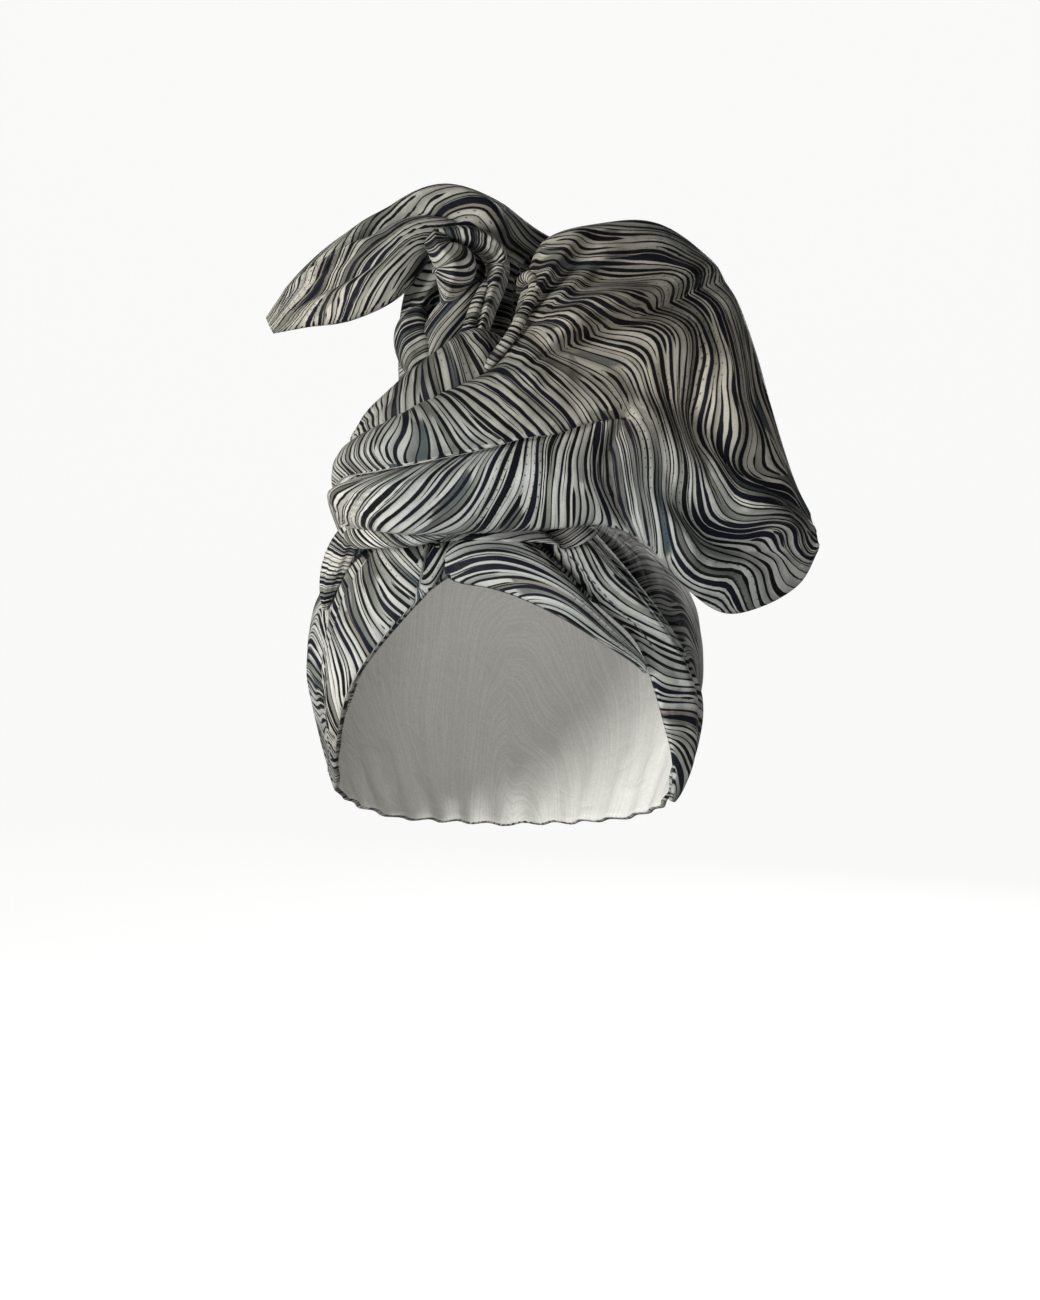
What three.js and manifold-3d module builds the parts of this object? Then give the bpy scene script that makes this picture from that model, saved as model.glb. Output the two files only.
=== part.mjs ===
// Turban headwrap: a soft cap whose two sash ends are brought up from the sides and tied in a half knot
// above the forehead. One end opens into a wide wing, the other stands up and flops over in a point.
// Millimetres, +Z up, the face looks along -Y. The origin is the top of the head, inside the cap.
import * as THREE from "three";
import Module from "manifold-3d";

const wasm = await Module();
wasm.setup();

// Cloth: every wall is doubled cloth, and layers that lie on each other keep a small gap.
const CLOTH = 1.7;
const GAP = 0.4;
const SASH_GAP = 0.8;

// Cap: a dome that is widest at the temples and is drawn in below them by the elastic of its rim.
const CAP = {
  halfWidth: 85,
  frontReach: 95,
  backReach: 102,
  widestZ: -72,
  topZ: CLOTH,
  domePower: 2.2,
  drawnIn: 12,
  drawnInOver: 50,
  drawnInPower: 1.6,
  rings: 12,
  around: 48,
};

// Rim of the cap by azimuth in degrees: 0 is the forehead, positive is towards +X, 180 is the nape.
const CAP_RIM = table("azimuth z", [
  [-180, -146],
  [-130, -141],
  [-90, -125],
  [-72, -108],
  [-52, -80],
  [-34, -52],
  [-16, -33],
  [0, -33],
  [20, -42],
  [40, -58],
  [56, -82],
  [74, -116],
  [90, -131],
  [130, -142],
  [180, -146],
]);

// Gathers of the elastic at the nape: waves round the rim that die out upwards.
const NAPE_GATHERS = { waves: 12, height: 1.6, reach: 0.45, halfSpread: 100 };

// Bands of cloth that lie on the cap. Each row is a section from the band's front edge to its back edge,
// as azimuth in degrees and height, with the height of its puff.
const BAND_COLUMNS = "frontAzimuth frontZ backAzimuth backZ puff";
const LEFT_BAND = table(BAND_COLUMNS, [
  [-16, -20, -60, -16, 3],
  [-20, -36, -64, -30, 6],
  [-27, -50, -64, -46, 7],
  [-36, -65, -66, -62, 6],
  [-46, -81, -68, -79, 5],
  [-54, -97, -68, -96, 3.5],
  [-61, -111, -68, -111, 2],
  [-64, -117, -67, -117, 1],
]);
const FRONT_ROLL = table(BAND_COLUMNS, [
  [-15, -36, -15, -20, 4],
  [-12, -41, -12, -21, 8],
  [-3, -44, -4, -21, 9],
  [6, -48, 6, -25, 8.5],
  [16, -54, 15, -35, 7],
  [27, -63, 25, -49, 5],
  [37, -71, 35, -62, 3],
  [41, -75, 39, -69, 1.5],
]);
const SIDE_BAND = table(BAND_COLUMNS, [
  [10, -21, 33, -20, 4],
  [18, -33, 40, -36, 6.5],
  [27, -48, 48, -54, 8],
  [38, -62, 60, -74, 7],
  [45, -80, 74, -90, 5.5],
  [54, -98, 80, -106, 4.5],
  [68, -116, 84, -120, 3],
  [80, -129, 87, -130, 1],
]);
const BAND_STEPS = { along: 14, across: 6 };

// Sash ends: hollow flattened tubes of cloth. Each row is a section from fold edge a to fold edge b,
// with the depth between its front and back layers. The first row is buried in the cap and is open.
const SECTION_COLUMNS = "aX aY aZ bX bY bZ depth";
const WING = table(SECTION_COLUMNS + " tuckAt tuckDepth", [
  [-61, -24, -16, -57, -30, -44, 24, 0.45, 0],
  [-55, -60, 8, -56, -58, -26, 32, 0.43, 3],
  [-50, -86, 20, -51, -84, -26, 37, 0.42, 9],
  [-40, -99, 27, -40, -97, -28, 40, 0.42, 11],
  [-25, -104, 35, -25, -103, -29, 38, 0.43, 11],
  [-3, -103, 46, -1, -104, -26, 36, 0.46, 10],
  [7, -96, 75, 22, -102, -22, 32, 0.61, 8],
  [16, -89, 96, 38, -98, -18, 30, 0.66, 5],
  [38, -82, 104, 55, -92, -23, 30, 0.64, 0],
  [62, -75, 105, 72, -84, -41, 29, 0.6, 0],
  [85, -67, 89, 88, -75, -51, 26, 0.6, 0],
  [98, -60, 64, 105, -66, -48, 21, 0.6, 0],
  [110, -54, 21, 120, -58, -39, 15, 0.6, 0],
  [123, -51, -8, 128, -53, -26, 7, 0.6, 0],
]);
const TAIL = table(SECTION_COLUMNS, [
  [-36, -58, -26, 30, -62, -30, 36],
  [-41, -67, 20, 6, -67, 18, 37],
  [-42, -75, 52, 1, -68, 58, 38],
  [-40, -78, 74, 10, -61, 84, 38],
  [-33, -80, 89, 21, -53, 100, 34],
  [-28, -83, 95, 7, -56, 108, 31],
  [-29, -87, 94, -24, -64, 120, 29],
  [-40, -90, 78, -45, -70, 114, 27],
  [-60, -87, 67, -64, -72, 107, 22],
  [-79, -83, 64, -82, -73, 89, 14],
  [-93, -79, 63, -95, -77, 69, 6],
]);

// Folds of a sash end: from one section to another, at a share of the way from edge a to edge b,
// with a half width as a share too and a height that is negative for a valley. Layer 1 is the front.
const FOLD_COLUMNS = "layer from to start end width height";
const WING_FOLDS = table(FOLD_COLUMNS, [
  [1, 5.2, 9.5, 0.1, 0.22, 0.09, -5],
  [1, 5.4, 10.5, 0.3, 0.36, 0.13, 5],
  [1, 6.2, 11.5, 0.5, 0.55, 0.1, -4],
  [1, 7.0, 12.0, 0.84, 0.78, 0.1, -5],
  [1, 7.6, 12.4, 0.68, 0.66, 0.1, 4],
  [-1, 3.0, 10.0, 0.35, 0.3, 0.14, 5],
  [-1, 4.0, 11.0, 0.62, 0.6, 0.12, -4],
]);
const TAIL_FOLDS = table(FOLD_COLUMNS, [
  [1, 0.6, 3.6, 0.14, 0.1, 0.11, 7],
  [1, 0.6, 4.4, 0.33, 0.26, 0.08, -8],
  [1, 0.8, 4.8, 0.5, 0.4, 0.1, 6],
  [1, 0.8, 4.8, 0.66, 0.62, 0.07, -9],
  [1, 0.8, 5.0, 0.82, 0.8, 0.08, 7],
  [1, 5.4, 9.6, 0.72, 0.66, 0.12, -4],
  [1, 5.2, 9.8, 0.4, 0.4, 0.14, 4],
  [-1, 0.6, 5.0, 0.25, 0.3, 0.12, 6],
  [-1, 0.6, 5.0, 0.55, 0.55, 0.1, -6],
]);
const SASH_STEPS = { perRow: 2, front: 20, back: 12 };
// The back layer of a sash end lies flatter than the front, which puffs out to the full half depth.
const BACK_PUFF = 0.55;

// Knot wrap: the short band round the foot of the standing end, arched from its upper to its lower edge.
const KNOT_WRAP = table("upperX upperY upperZ lowerX lowerY lowerZ puff", [
  [13, -57, 42, 14, -58, 4, 4],
  [-14, -52, 36, -12, -53, -2, 5],
  [-44, -58, 29, -42, -59, -4, 5],
  [-59, -74, 19, -54, -76, -3, 6],
  [-55, -90, 26, -47, -95, 8, 8],
  [-41, -97, 39, -34, -103, 16, 10],
  [-26, -98, 50, -20, -104, 27, 10],
  [-11, -94, 59, -4, -100, 38, 9],
  [1, -84, 57, 5, -88, 44, 5],
  [8, -68, 54, 10, -70, 40, 4],
]);
const WRAP_STEPS = { along: 20, across: 8 };

// Colours of the print's pale ground, one for each group of pieces.
const COLOURS = { cap: 0xa3a49e, band: 0xb2b3ad, sash: 0x9a9b93, wrap: 0xb0aca4 };

/** Rows of numbers as objects with named columns. */
function table(columns, rows) {
  const names = columns.split(" ");
  return rows.map((row) => Object.fromEntries(row.map((value, i) => [names[i], value])));
}

/** A smooth curve through four values, from b at 0 to c at 1. */
function through(a, b, c, d, t) {
  const slope = c - a;
  const bend = 2 * a - 5 * b + 4 * c - d;
  const twist = 3 * b - a - 3 * c + d;
  return 0.5 * (2 * b + t * (slope + t * (bend + t * twist)));
}

/** The row at a position between a table's rows, on a smooth curve through them. */
function rowAt(rows, position) {
  const last = rows.length - 1;
  const i = Math.min(Math.max(Math.floor(position), 0), last - 1);
  const [a, b, c, d] = [i - 1, i, i + 1, i + 2].map((k) => rows[Math.min(Math.max(k, 0), last)]);
  const names = Object.keys(b);
  return Object.fromEntries(names.map((n) => [n, through(a[n], b[n], c[n], d[n], position - i)]));
}

/** A smooth hump: 1 at 0, and 0 from 1 outwards. */
function hump(distance) {
  return Math.abs(distance) < 1 ? Math.cos((distance * Math.PI) / 2) ** 2 : 0;
}

/** count + 1 numbers from low to high. */
function spaced(low, high, count) {
  return Array.from({ length: count + 1 }, (_, i) => low + ((high - low) * i) / count);
}

/** A closed mesh of points and triangles as a solid whose faces point out. */
function solidOf(points, triangles) {
  const cross = new THREE.Vector3();
  const volume = triangles.reduce((sum, [a, b, c]) => {
    return sum + points[a].dot(cross.crossVectors(points[b], points[c]));
  }, 0);
  const facing = volume < 0 ? triangles.map(([a, b, c]) => [a, c, b]) : triangles;
  const mesh = new wasm.Mesh({
    numProp: 3,
    vertProperties: new Float32Array(points.flatMap((p) => p.toArray())),
    triVerts: new Uint32Array(facing.flat()),
  });
  return new wasm.Manifold(mesh);
}

/** A solid through rings with the same number of points, closed at both ends. */
function loft(rings) {
  const count = rings[0].length;
  const middle = (ring) => ring.reduce((sum, p) => sum.add(p), new THREE.Vector3()).divideScalar(count);
  const points = [...rings.flat(), middle(rings[0]), middle(rings.at(-1))];
  const triangles = [];
  const last = rings.length - 1;
  for (let j = 0; j < count; j++) {
    const next = (j + 1) % count;
    for (let i = 0; i < last; i++) {
      const [a, b] = [i * count + j, i * count + next];
      triangles.push([a, b, a + count], [b, b + count, a + count]);
    }
    triangles.push([points.length - 2, next, j]);
    triangles.push([points.length - 1, last * count + j, last * count + next]);
  }
  return solidOf(points, triangles);
}

/** A wall between two grids of points with the same rows and columns. */
function wallBetween(outer, inner) {
  const [rows, columns] = [outer.length, outer[0].length];
  const points = [...outer.flat(), ...inner.flat()];
  const inside = rows * columns;
  const triangles = [];
  const quad = (a, b, c, d) => triangles.push([a, b, c], [a, c, d]);
  for (let i = 0; i < rows - 1; i++) {
    for (let j = 0; j < columns - 1; j++) {
      const [a, b, c, d] = [i, i + 1].flatMap((r) => [r * columns + j, r * columns + j + 1]);
      quad(a, b, d, c);
      quad(inside + a, inside + c, inside + d, inside + b);
    }
  }
  const edge = (a, b) => quad(b, a, inside + a, inside + b);
  for (let j = 0; j < columns - 1; j++) {
    edge(j, j + 1);
    edge((rows - 1) * columns + j + 1, (rows - 1) * columns + j);
  }
  for (let i = 0; i < rows - 1; i++) {
    edge((i + 1) * columns, i * columns);
    edge((i + 1) * columns - 1, (i + 2) * columns - 1);
  }
  return solidOf(points, triangles);
}

/** The cap's level, as a share of its full width, at a height. */
function capShare(z) {
  const { widestZ, topZ, domePower, halfWidth } = CAP;
  if (z >= widestZ) {
    const rise = Math.min((z - widestZ) / (topZ - widestZ), 1);
    return (1 - rise ** domePower) ** (1 / domePower);
  }
  return 1 - (CAP.drawnIn / halfWidth) * ((widestZ - z) / CAP.drawnInOver) ** CAP.drawnInPower;
}

/** A point on the cap's outer face. */
function capPoint(azimuth, z) {
  const angle = THREE.MathUtils.degToRad(azimuth);
  const reach = Math.abs(azimuth) < 90 ? CAP.frontReach : CAP.backReach;
  const share = capShare(z);
  return new THREE.Vector3(CAP.halfWidth * share * Math.sin(angle), -reach * share * Math.cos(angle), z);
}

/** A point off the cap's outer face by a lift, measured square to the face. */
function capLifted(azimuth, z, lift) {
  const [small, point] = [0.5, capPoint(azimuth, z)];
  const round = capPoint(azimuth + small, z).sub(capPoint(azimuth - small, z));
  const upper = Math.min(z + small, CAP.topZ - 0.01);
  const rising = capPoint(azimuth, upper).sub(capPoint(azimuth, z - small));
  return point.addScaledVector(round.cross(rising).normalize(), lift);
}

/** Height of the cap's rim at an azimuth. */
function rimZ(azimuth) {
  const after = CAP_RIM.findIndex((row, i) => i > 0 && row.azimuth >= azimuth);
  const [low, high] = [CAP_RIM[after - 1], CAP_RIM[after]];
  const share = (azimuth - low.azimuth) / (high.azimuth - low.azimuth);
  return rowAt(CAP_RIM, after - 1 + share).z;
}

/** A height on the way from the rim to the top, with levels closer together near the top. */
function capLevel(rim, share) {
  return rim + (CAP.topZ - 0.02 - rim) * Math.sin((share * Math.PI) / 2);
}

/** A ring round the cap, at a share of the way from its rim to its top. */
function capRing(share, lift, rim = rimZ) {
  return spaced(-180, 180, CAP.around).slice(0, -1).map((azimuth) => {
    const fromNape = 180 - Math.abs(azimuth);
    const behind = hump(fromNape / NAPE_GATHERS.halfSpread);
    const fading = hump(share / NAPE_GATHERS.reach);
    const wave = Math.cos(THREE.MathUtils.degToRad(azimuth * NAPE_GATHERS.waves));
    const gather = NAPE_GATHERS.height * wave * behind * fading;
    return capLifted(azimuth, capLevel(rim(azimuth), share), lift + gather);
  });
}

/** The cap's wall: its outer face from the top to the rim, then its inner face back to the top. */
function cap() {
  const shares = spaced(0, 1, CAP.rings).slice(0, -1);
  const outer = [...shares].reverse().map((share) => capRing(share, 0));
  const inner = shares.map((share) => capRing(share, -CLOTH));
  return loft([...outer, ...inner]);
}

/** The whole space of the cap and the head in it, which the knot stays out of. */
function headSpace() {
  const shares = spaced(0, 1, CAP.rings).slice(0, -1);
  return loft(shares.map((share) => capRing(share, GAP, () => -130)));
}

/** A face of a band on the cap, as a grid of points, reaching past the band's edges by a margin. */
function bandFace(rows, lift, puffed = 1, margin = 0) {
  return spaced(-margin, rows.length - 1 + margin, BAND_STEPS.along).map((position) => {
    const row = rowAt(rows, position);
    return spaced(-margin, 1 + margin, BAND_STEPS.across).map((share) => {
      const azimuth = THREE.MathUtils.lerp(row.frontAzimuth, row.backAzimuth, share);
      const z = THREE.MathUtils.lerp(row.frontZ, row.backZ, share);
      const puff = row.puff * Math.max(Math.sin(share * Math.PI), 0) ** 0.7;
      return capLifted(azimuth, z, lift + puff * puffed);
    });
  });
}

function band(rows) {
  return wallBetween(bandFace(rows, GAP + CLOTH), bandFace(rows, GAP));
}

/** The space from inside the cap's wall to just off a band's outer face, and past its edges. */
function bandSpace(rows) {
  return wallBetween(bandFace(rows, GAP + CLOTH + SASH_GAP, 1, 0.05), bandFace(rows, -CLOTH, 0, 0.05));
}

/** How far the folds push a layer out at a place on a sash end. */
function foldHeight(folds, layer, position, across) {
  return folds
    .filter((fold) => fold.layer === layer)
    .reduce((sum, fold) => {
      const along = (position - fold.from) / (fold.to - fold.from);
      const centre = THREE.MathUtils.lerp(fold.start, fold.end, along);
      const fade = hump(2 * along - 1) ** 0.5;
      return sum + fold.height * fade * hump((across - centre) / fold.width);
    }, 0);
}

/** The closed loop of a sash end's section, drawn in from its outer face by an inset. */
function sashLoop(rows, folds, position, inset) {
  const last = rows.length - 1;
  const row = rowAt(rows, position);
  const edge = (r, name) => new THREE.Vector3(r[name + "X"], r[name + "Y"], r[name + "Z"]);
  const middle = (r) => edge(r, "a").add(edge(r, "b")).multiplyScalar(0.5);
  const ahead = middle(rowAt(rows, Math.min(position + 0.2, last)));
  const along = ahead.sub(middle(rowAt(rows, Math.max(position - 0.2, 0))));
  const toA = edge(row, "a").sub(edge(row, "b")).multiplyScalar(0.5);
  const outwards = along.cross(toA).normalize();
  const height = 1 - inset / toA.length();
  const puff = (layer) => Math.max((row.depth / 2) * (layer > 0 ? 1 : BACK_PUFF) - inset, 0.4);
  const place = (layer, across) => {
    const up = 1 - 2 * across;
    const rounding = Math.sqrt(Math.max(1 - up * up, 0));
    const tuck = layer > 0 && row.tuckDepth ? -row.tuckDepth * hump((across - row.tuckAt) / 0.16) : 0;
    const fold = (foldHeight(folds, layer, position, across) * layer + tuck) * Math.min(rounding * 2, 1);
    return middle(row)
      .addScaledVector(toA, up * height)
      .addScaledVector(outwards, layer * puff(layer) * rounding + fold);
  };
  const eased = (share) => 0.7 * share + 0.15 * (1 - Math.cos(share * Math.PI));
  const front = spaced(0, 1, SASH_STEPS.front).slice(0, -1).map((share) => place(1, eased(share)));
  const back = spaced(1, 0, SASH_STEPS.back).slice(0, -1).map((share) => place(-1, eased(share)));
  return [...front, ...back];
}

/** A sash end's wall: its outer face from the closed tip to the open foot, then its inner face back. */
function sash(rows, folds) {
  const last = rows.length - 1;
  const steps = last * SASH_STEPS.perRow;
  const outer = spaced(last, 0, steps).map((position) => sashLoop(rows, folds, position, 0));
  const inner = spaced(0, last - 0.6, steps - 1).map((position) => sashLoop(rows, folds, position, CLOTH));
  return loft([...outer, ...inner]);
}

/** The whole space of a sash end, grown by the gap. */
function sashSpace(rows, folds) {
  const last = rows.length - 1;
  const positions = spaced(0, last, last * SASH_STEPS.perRow);
  return loft(positions.map((position) => sashLoop(rows, folds, position, -SASH_GAP)));
}

/** The knot wrap's two faces: arcs from its upper edge to its lower edge, puffed out to the front. */
function knotWrap() {
  const face = (inset) =>
    spaced(0, KNOT_WRAP.length - 1, WRAP_STEPS.along).map((position) => {
      const row = rowAt(KNOT_WRAP, position);
      const upper = new THREE.Vector3(row.upperX, row.upperY, row.upperZ);
      const lower = new THREE.Vector3(row.lowerX, row.lowerY, row.lowerZ);
      const ahead = rowAt(KNOT_WRAP, Math.min(position + 0.2, KNOT_WRAP.length - 1));
      const behind = rowAt(KNOT_WRAP, Math.max(position - 0.2, 0));
      const along = new THREE.Vector3(
        ahead.upperX - behind.upperX,
        ahead.upperY - behind.upperY,
        ahead.upperZ - behind.upperZ,
      );
      const outwards = along.cross(upper.clone().sub(lower)).normalize();
      const middle = upper.clone().add(lower).multiplyScalar(0.5);
      const half = upper.clone().sub(middle);
      const tall = 1 - inset / half.length();
      return spaced(0, Math.PI, WRAP_STEPS.across).map((angle) =>
        middle
          .clone()
          .addScaledVector(half, tall * Math.cos(angle))
          .addScaledVector(outwards, (row.puff - inset) * Math.sin(angle)),
      );
    });
  return wallBetween(face(0), face(CLOTH));
}

/** What is left of a solid once others are cut out of it: its largest piece. */
function clearOf(solid, ...spaces) {
  const left = spaces.reduce((rest, space) => rest.subtract(space), solid).decompose();
  return left.reduce((largest, piece) => (piece.volume() > largest.volume() ? piece : largest));
}

/** A named mesh of a solid. */
function piece(name, solid, color) {
  const { vertProperties, triVerts, numProp } = solid.getMesh();
  const geometry = new THREE.BufferGeometry();
  geometry.setAttribute("position", new THREE.BufferAttribute(vertProperties, numProp));
  geometry.setIndex(new THREE.BufferAttribute(triVerts, 1));
  geometry.computeVertexNormals();
  const material = new THREE.MeshStandardMaterial({ color, roughness: 0.85, metalness: 0 });
  const mesh = new THREE.Mesh(geometry, material);
  mesh.name = name;
  return mesh;
}

const underKnot = [headSpace(), ...[LEFT_BAND, FRONT_ROLL, SIDE_BAND].map(bandSpace)];
const wing = clearOf(sash(WING, WING_FOLDS), ...underKnot);
const wingSpace = sashSpace(WING, WING_FOLDS);
const tail = clearOf(sash(TAIL, TAIL_FOLDS), ...underKnot, wingSpace);
const tailSpace = sashSpace(TAIL, TAIL_FOLDS);
const wrap = clearOf(knotWrap(), ...underKnot, wingSpace, tailSpace);

const headwrap = new THREE.Group();
headwrap.add(
  piece("crown_cap", cap(), COLOURS.cap),
  piece("left_band", band(LEFT_BAND), COLOURS.band),
  piece("front_roll", band(FRONT_ROLL), COLOURS.band),
  piece("side_band", band(SIDE_BAND), COLOURS.band),
  piece("right_wing", wing, COLOURS.sash),
  piece("left_tail", tail, COLOURS.sash),
  piece("knot_wrap", wrap, COLOURS.wrap),
);

export default headwrap;
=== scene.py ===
import bpy
import numpy as np
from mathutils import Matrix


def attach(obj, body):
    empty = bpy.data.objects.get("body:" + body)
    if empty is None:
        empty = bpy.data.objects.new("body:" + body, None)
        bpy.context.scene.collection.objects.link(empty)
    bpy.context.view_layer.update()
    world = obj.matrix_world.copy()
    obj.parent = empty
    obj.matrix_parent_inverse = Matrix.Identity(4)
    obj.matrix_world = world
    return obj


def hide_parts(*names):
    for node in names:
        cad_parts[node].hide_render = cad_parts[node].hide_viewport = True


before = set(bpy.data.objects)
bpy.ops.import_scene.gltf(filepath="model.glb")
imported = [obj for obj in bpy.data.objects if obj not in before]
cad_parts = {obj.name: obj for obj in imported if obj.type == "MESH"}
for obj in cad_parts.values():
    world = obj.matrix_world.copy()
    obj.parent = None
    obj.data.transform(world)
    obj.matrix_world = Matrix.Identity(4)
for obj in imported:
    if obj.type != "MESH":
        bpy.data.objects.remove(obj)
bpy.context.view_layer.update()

# CROWN CAP. The soft cap that covers the head from the brow to the nape: one dome of woven polyester with
# a turned and stitched hem. An elastic in the hem draws it in and gathers it at the nape, and the pull of
# the knot above the brow sends faint folds back over the crown.

# Sizes are in mm and angles in degrees. What a material or the studio reads is in metres.
MM = 0.001
CLOTH = 1.7
GAP = 0.4
CAP_HALF_WIDTH = 85.0
CAP_FRONT_REACH = 95.0
CAP_BACK_REACH = 102.0
CAP_WIDEST_Z = -72.0
CAP_RISE = CLOTH - CAP_WIDEST_Z
CAP_DOME_POWER = 2.2
CAP_DRAWN_IN = 12.0
CAP_DRAWN_HEIGHT = 50.0
CAP_DRAWN_POWER = 1.6
CAP_RIM = np.array([
    # azimuth, z
    [-180, -146], [-130, -141], [-90, -128], [-72, -117], [-52, -90], [-34, -59], [-16, -35], [0, -33],
    [20, -42], [40, -58], [56, -82], [74, -116], [90, -131], [130, -142], [180, -146],
], float)
CAP_ROWS = 91
CAP_COLUMNS = 240
GATHER_COUNT = 26
GATHER_REACH = 110.0
GATHER_HEIGHT = 1.1
RIM_GATHER_HEIGHT = 0.4
KNOT_X = -8.0
KNOT_Y = -82.0
PULL_COUNT = 13
PULL_REACH = 120.0
PULL_HEIGHT = 0.9
CAP_RIPPLE = 0.55
SEAM_DEPTH = 0.7
HEM_WIDTH = 9.0
HEM_HEIGHT = 0.45
HEM_STITCH = 7.6
STITCH_THICKNESS = 0.7
RIPPLE_WAVES = 9
RIPPLE_PEAK = 2.2
LINE_SPACING = 3.4
LINE_WAVER = 0.72
PRINT_TURN = 20.0
PRINT_TWIST = 1.36


def row_at(rows, position):
    """Rows of a table at positions between them, on smooth curves through its columns."""
    rows = np.asarray(rows, float)
    position = np.atleast_1d(np.asarray(position, float))
    last = len(rows) - 1
    i = np.clip(np.floor(position).astype(int), 0, last - 1)
    t = (position - i)[:, None]
    a, b, c, d = (rows[np.clip(i + k, 0, last)] for k in (-1, 0, 1, 2))
    bend = 2 * a - 5 * b + 4 * c - d
    twist = 3 * b - a - 3 * c + d
    return 0.5 * (2 * b + t * ((c - a) + t * (bend + t * twist)))


def hump(distance):
    """A smooth bump: 1 at 0, and 0 from 1 outwards."""
    return np.where(np.abs(distance) < 1, np.cos(np.clip(distance, -1, 1) * np.pi / 2) ** 2, 0)


def cusp(distance):
    """A sharp crease: 1 at 0 with a point, and 0 from 1 outwards."""
    return np.clip(1 - np.abs(distance), 0, 1) ** 2


def unit(vectors):
    return vectors / np.maximum(np.linalg.norm(vectors, axis=-1, keepdims=True), 1e-9)


def cap_share(z):
    """The cap's breadth at a height, as a share of its breadth at the temples."""
    rise = np.clip((z - CAP_WIDEST_Z) / CAP_RISE, 0, 1)
    dome = (1 - rise**CAP_DOME_POWER) ** (1 / CAP_DOME_POWER)
    below = np.clip(CAP_WIDEST_Z - z, 0, None) / CAP_DRAWN_HEIGHT
    drawn_in = 1 - CAP_DRAWN_IN / CAP_HALF_WIDTH * below**CAP_DRAWN_POWER
    return np.where(z >= CAP_WIDEST_Z, dome, drawn_in)


def cap_point(azimuth, z):
    """Points of the cap's smooth face: azimuth is 0 at the brow and grows to the +X side."""
    azimuth, z = np.broadcast_arrays(azimuth, z)
    angle = np.radians(azimuth)
    reach = np.where(np.abs(azimuth) < 90, CAP_FRONT_REACH, CAP_BACK_REACH)
    share = cap_share(z)
    return np.stack([CAP_HALF_WIDTH * share * np.sin(angle), -reach * share * np.cos(angle), z], -1)


def cap_lifted(azimuth, z, lift):
    """Points off the cap's face by a lift, measured square to the face."""
    azimuth, z, lift = np.broadcast_arrays(azimuth, z, lift)
    round_the_cap = cap_point(azimuth + 0.5, z) - cap_point(azimuth - 0.5, z)
    upwards = cap_point(azimuth, np.minimum(z + 0.5, CLOTH - 0.01)) - cap_point(azimuth, z - 0.5)
    return cap_point(azimuth, z) + unit(np.cross(round_the_cap, upwards)) * lift[..., None]


def ripples(u, v, seed, coarse=60.0, fine=14.0):
    """Small irregular undulations of cloth, from about -1 to 1, over two lengths in mm."""
    dice = np.random.default_rng(seed)
    total = np.zeros(np.broadcast(u, v).shape)
    for length in np.geomspace(coarse, fine, RIPPLE_WAVES):
        turn, phase = dice.uniform(0, 2 * np.pi, 2)
        way = u * np.cos(turn) + v * np.sin(turn)
        total += length / coarse * np.sin(2 * np.pi * way / length + phase)
    return total / RIPPLE_PEAK


def wall(outer, inner, pattern, tube):
    """The faces of a wall of cloth between two grids of points, with the print's coordinates at corners.

    A tube closes round its rows and at its last row; a strip has four free edges.
    """
    rows, columns = outer.shape[:2]
    i, j = np.meshgrid(np.arange(rows - 1), np.arange(columns if tube else columns - 1), indexing="ij")
    i, j = i.ravel(), j.ravel()
    corner_rows = np.stack([i, i, i + 1, i + 1], 1)
    corner_columns = np.stack([j, j + 1, j + 1, j], 1)
    outside = corner_rows * columns + corner_columns % columns
    quads = [outside, outside[:, ::-1] + rows * columns]
    outside_uv = pattern[corner_rows, corner_columns]
    quad_uv = [outside_uv, outside_uv[:, ::-1]]

    def close_edge(r, c):
        a = r * columns + c % columns
        b = a + rows * columns
        quads.append(np.stack([a[1:], a[:-1], b[:-1], b[1:]], 1))
        uv = pattern[r, c]
        quad_uv.append(np.stack([uv[1:], uv[:-1], uv[:-1], uv[1:]], 1))

    every_column = np.arange(columns + 1 if tube else columns)
    close_edge(np.zeros_like(every_column), every_column)
    points = [outer.reshape(-1, 3), inner.reshape(-1, 3)]
    fans, fan_uv = np.zeros((0, 3), int), np.zeros((0, 3, 3))
    if tube:
        tip = (rows - 1) * columns + np.arange(columns)
        after = (rows - 1) * columns + (np.arange(columns) + 1) % columns
        middle = np.full(columns, 2 * rows * columns)
        lining = rows * columns
        fans = np.concatenate([
            np.stack([tip, after, middle], 1),
            np.stack([after + lining, tip + lining, middle + 1], 1),
        ])
        points += [outer[-1].mean(0)[None], inner[-1].mean(0)[None]]
        mean_uv = np.broadcast_to(pattern[-1].mean(0), (columns, 3))
        tip_uv = np.stack([pattern[-1, :-1], pattern[-1, 1:], mean_uv], 1)
        fan_uv = np.concatenate([tip_uv, tip_uv[:, [1, 0, 2]]])
    else:
        every_row = np.arange(rows)
        close_edge(every_row[::-1], np.zeros_like(every_row))
        close_edge(np.full(columns, rows - 1), every_column[::-1])
        close_edge(every_row, np.full(rows, columns - 1))
    points = np.concatenate(points)
    quads, quad_uv = np.concatenate(quads), np.concatenate(quad_uv)
    triangles = np.concatenate([quads[:, :3], quads[:, [0, 2, 3]], fans])
    a, b, c = (points[triangles[:, k]] for k in range(3))
    if (a * np.cross(b, c)).sum() < 0:
        quads, quad_uv = quads[:, ::-1], quad_uv[:, ::-1]
        fans, fan_uv = fans[:, ::-1], fan_uv[:, ::-1]
    reverse = np.zeros(len(quads) + len(fans), np.int32)
    reverse[len(outside):2 * len(outside)] = 1
    corners_uv = np.concatenate([quad_uv.reshape(-1, 3), fan_uv.reshape(-1, 3)])
    return points, quads.tolist() + fans.tolist(), corners_uv, reverse


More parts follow.
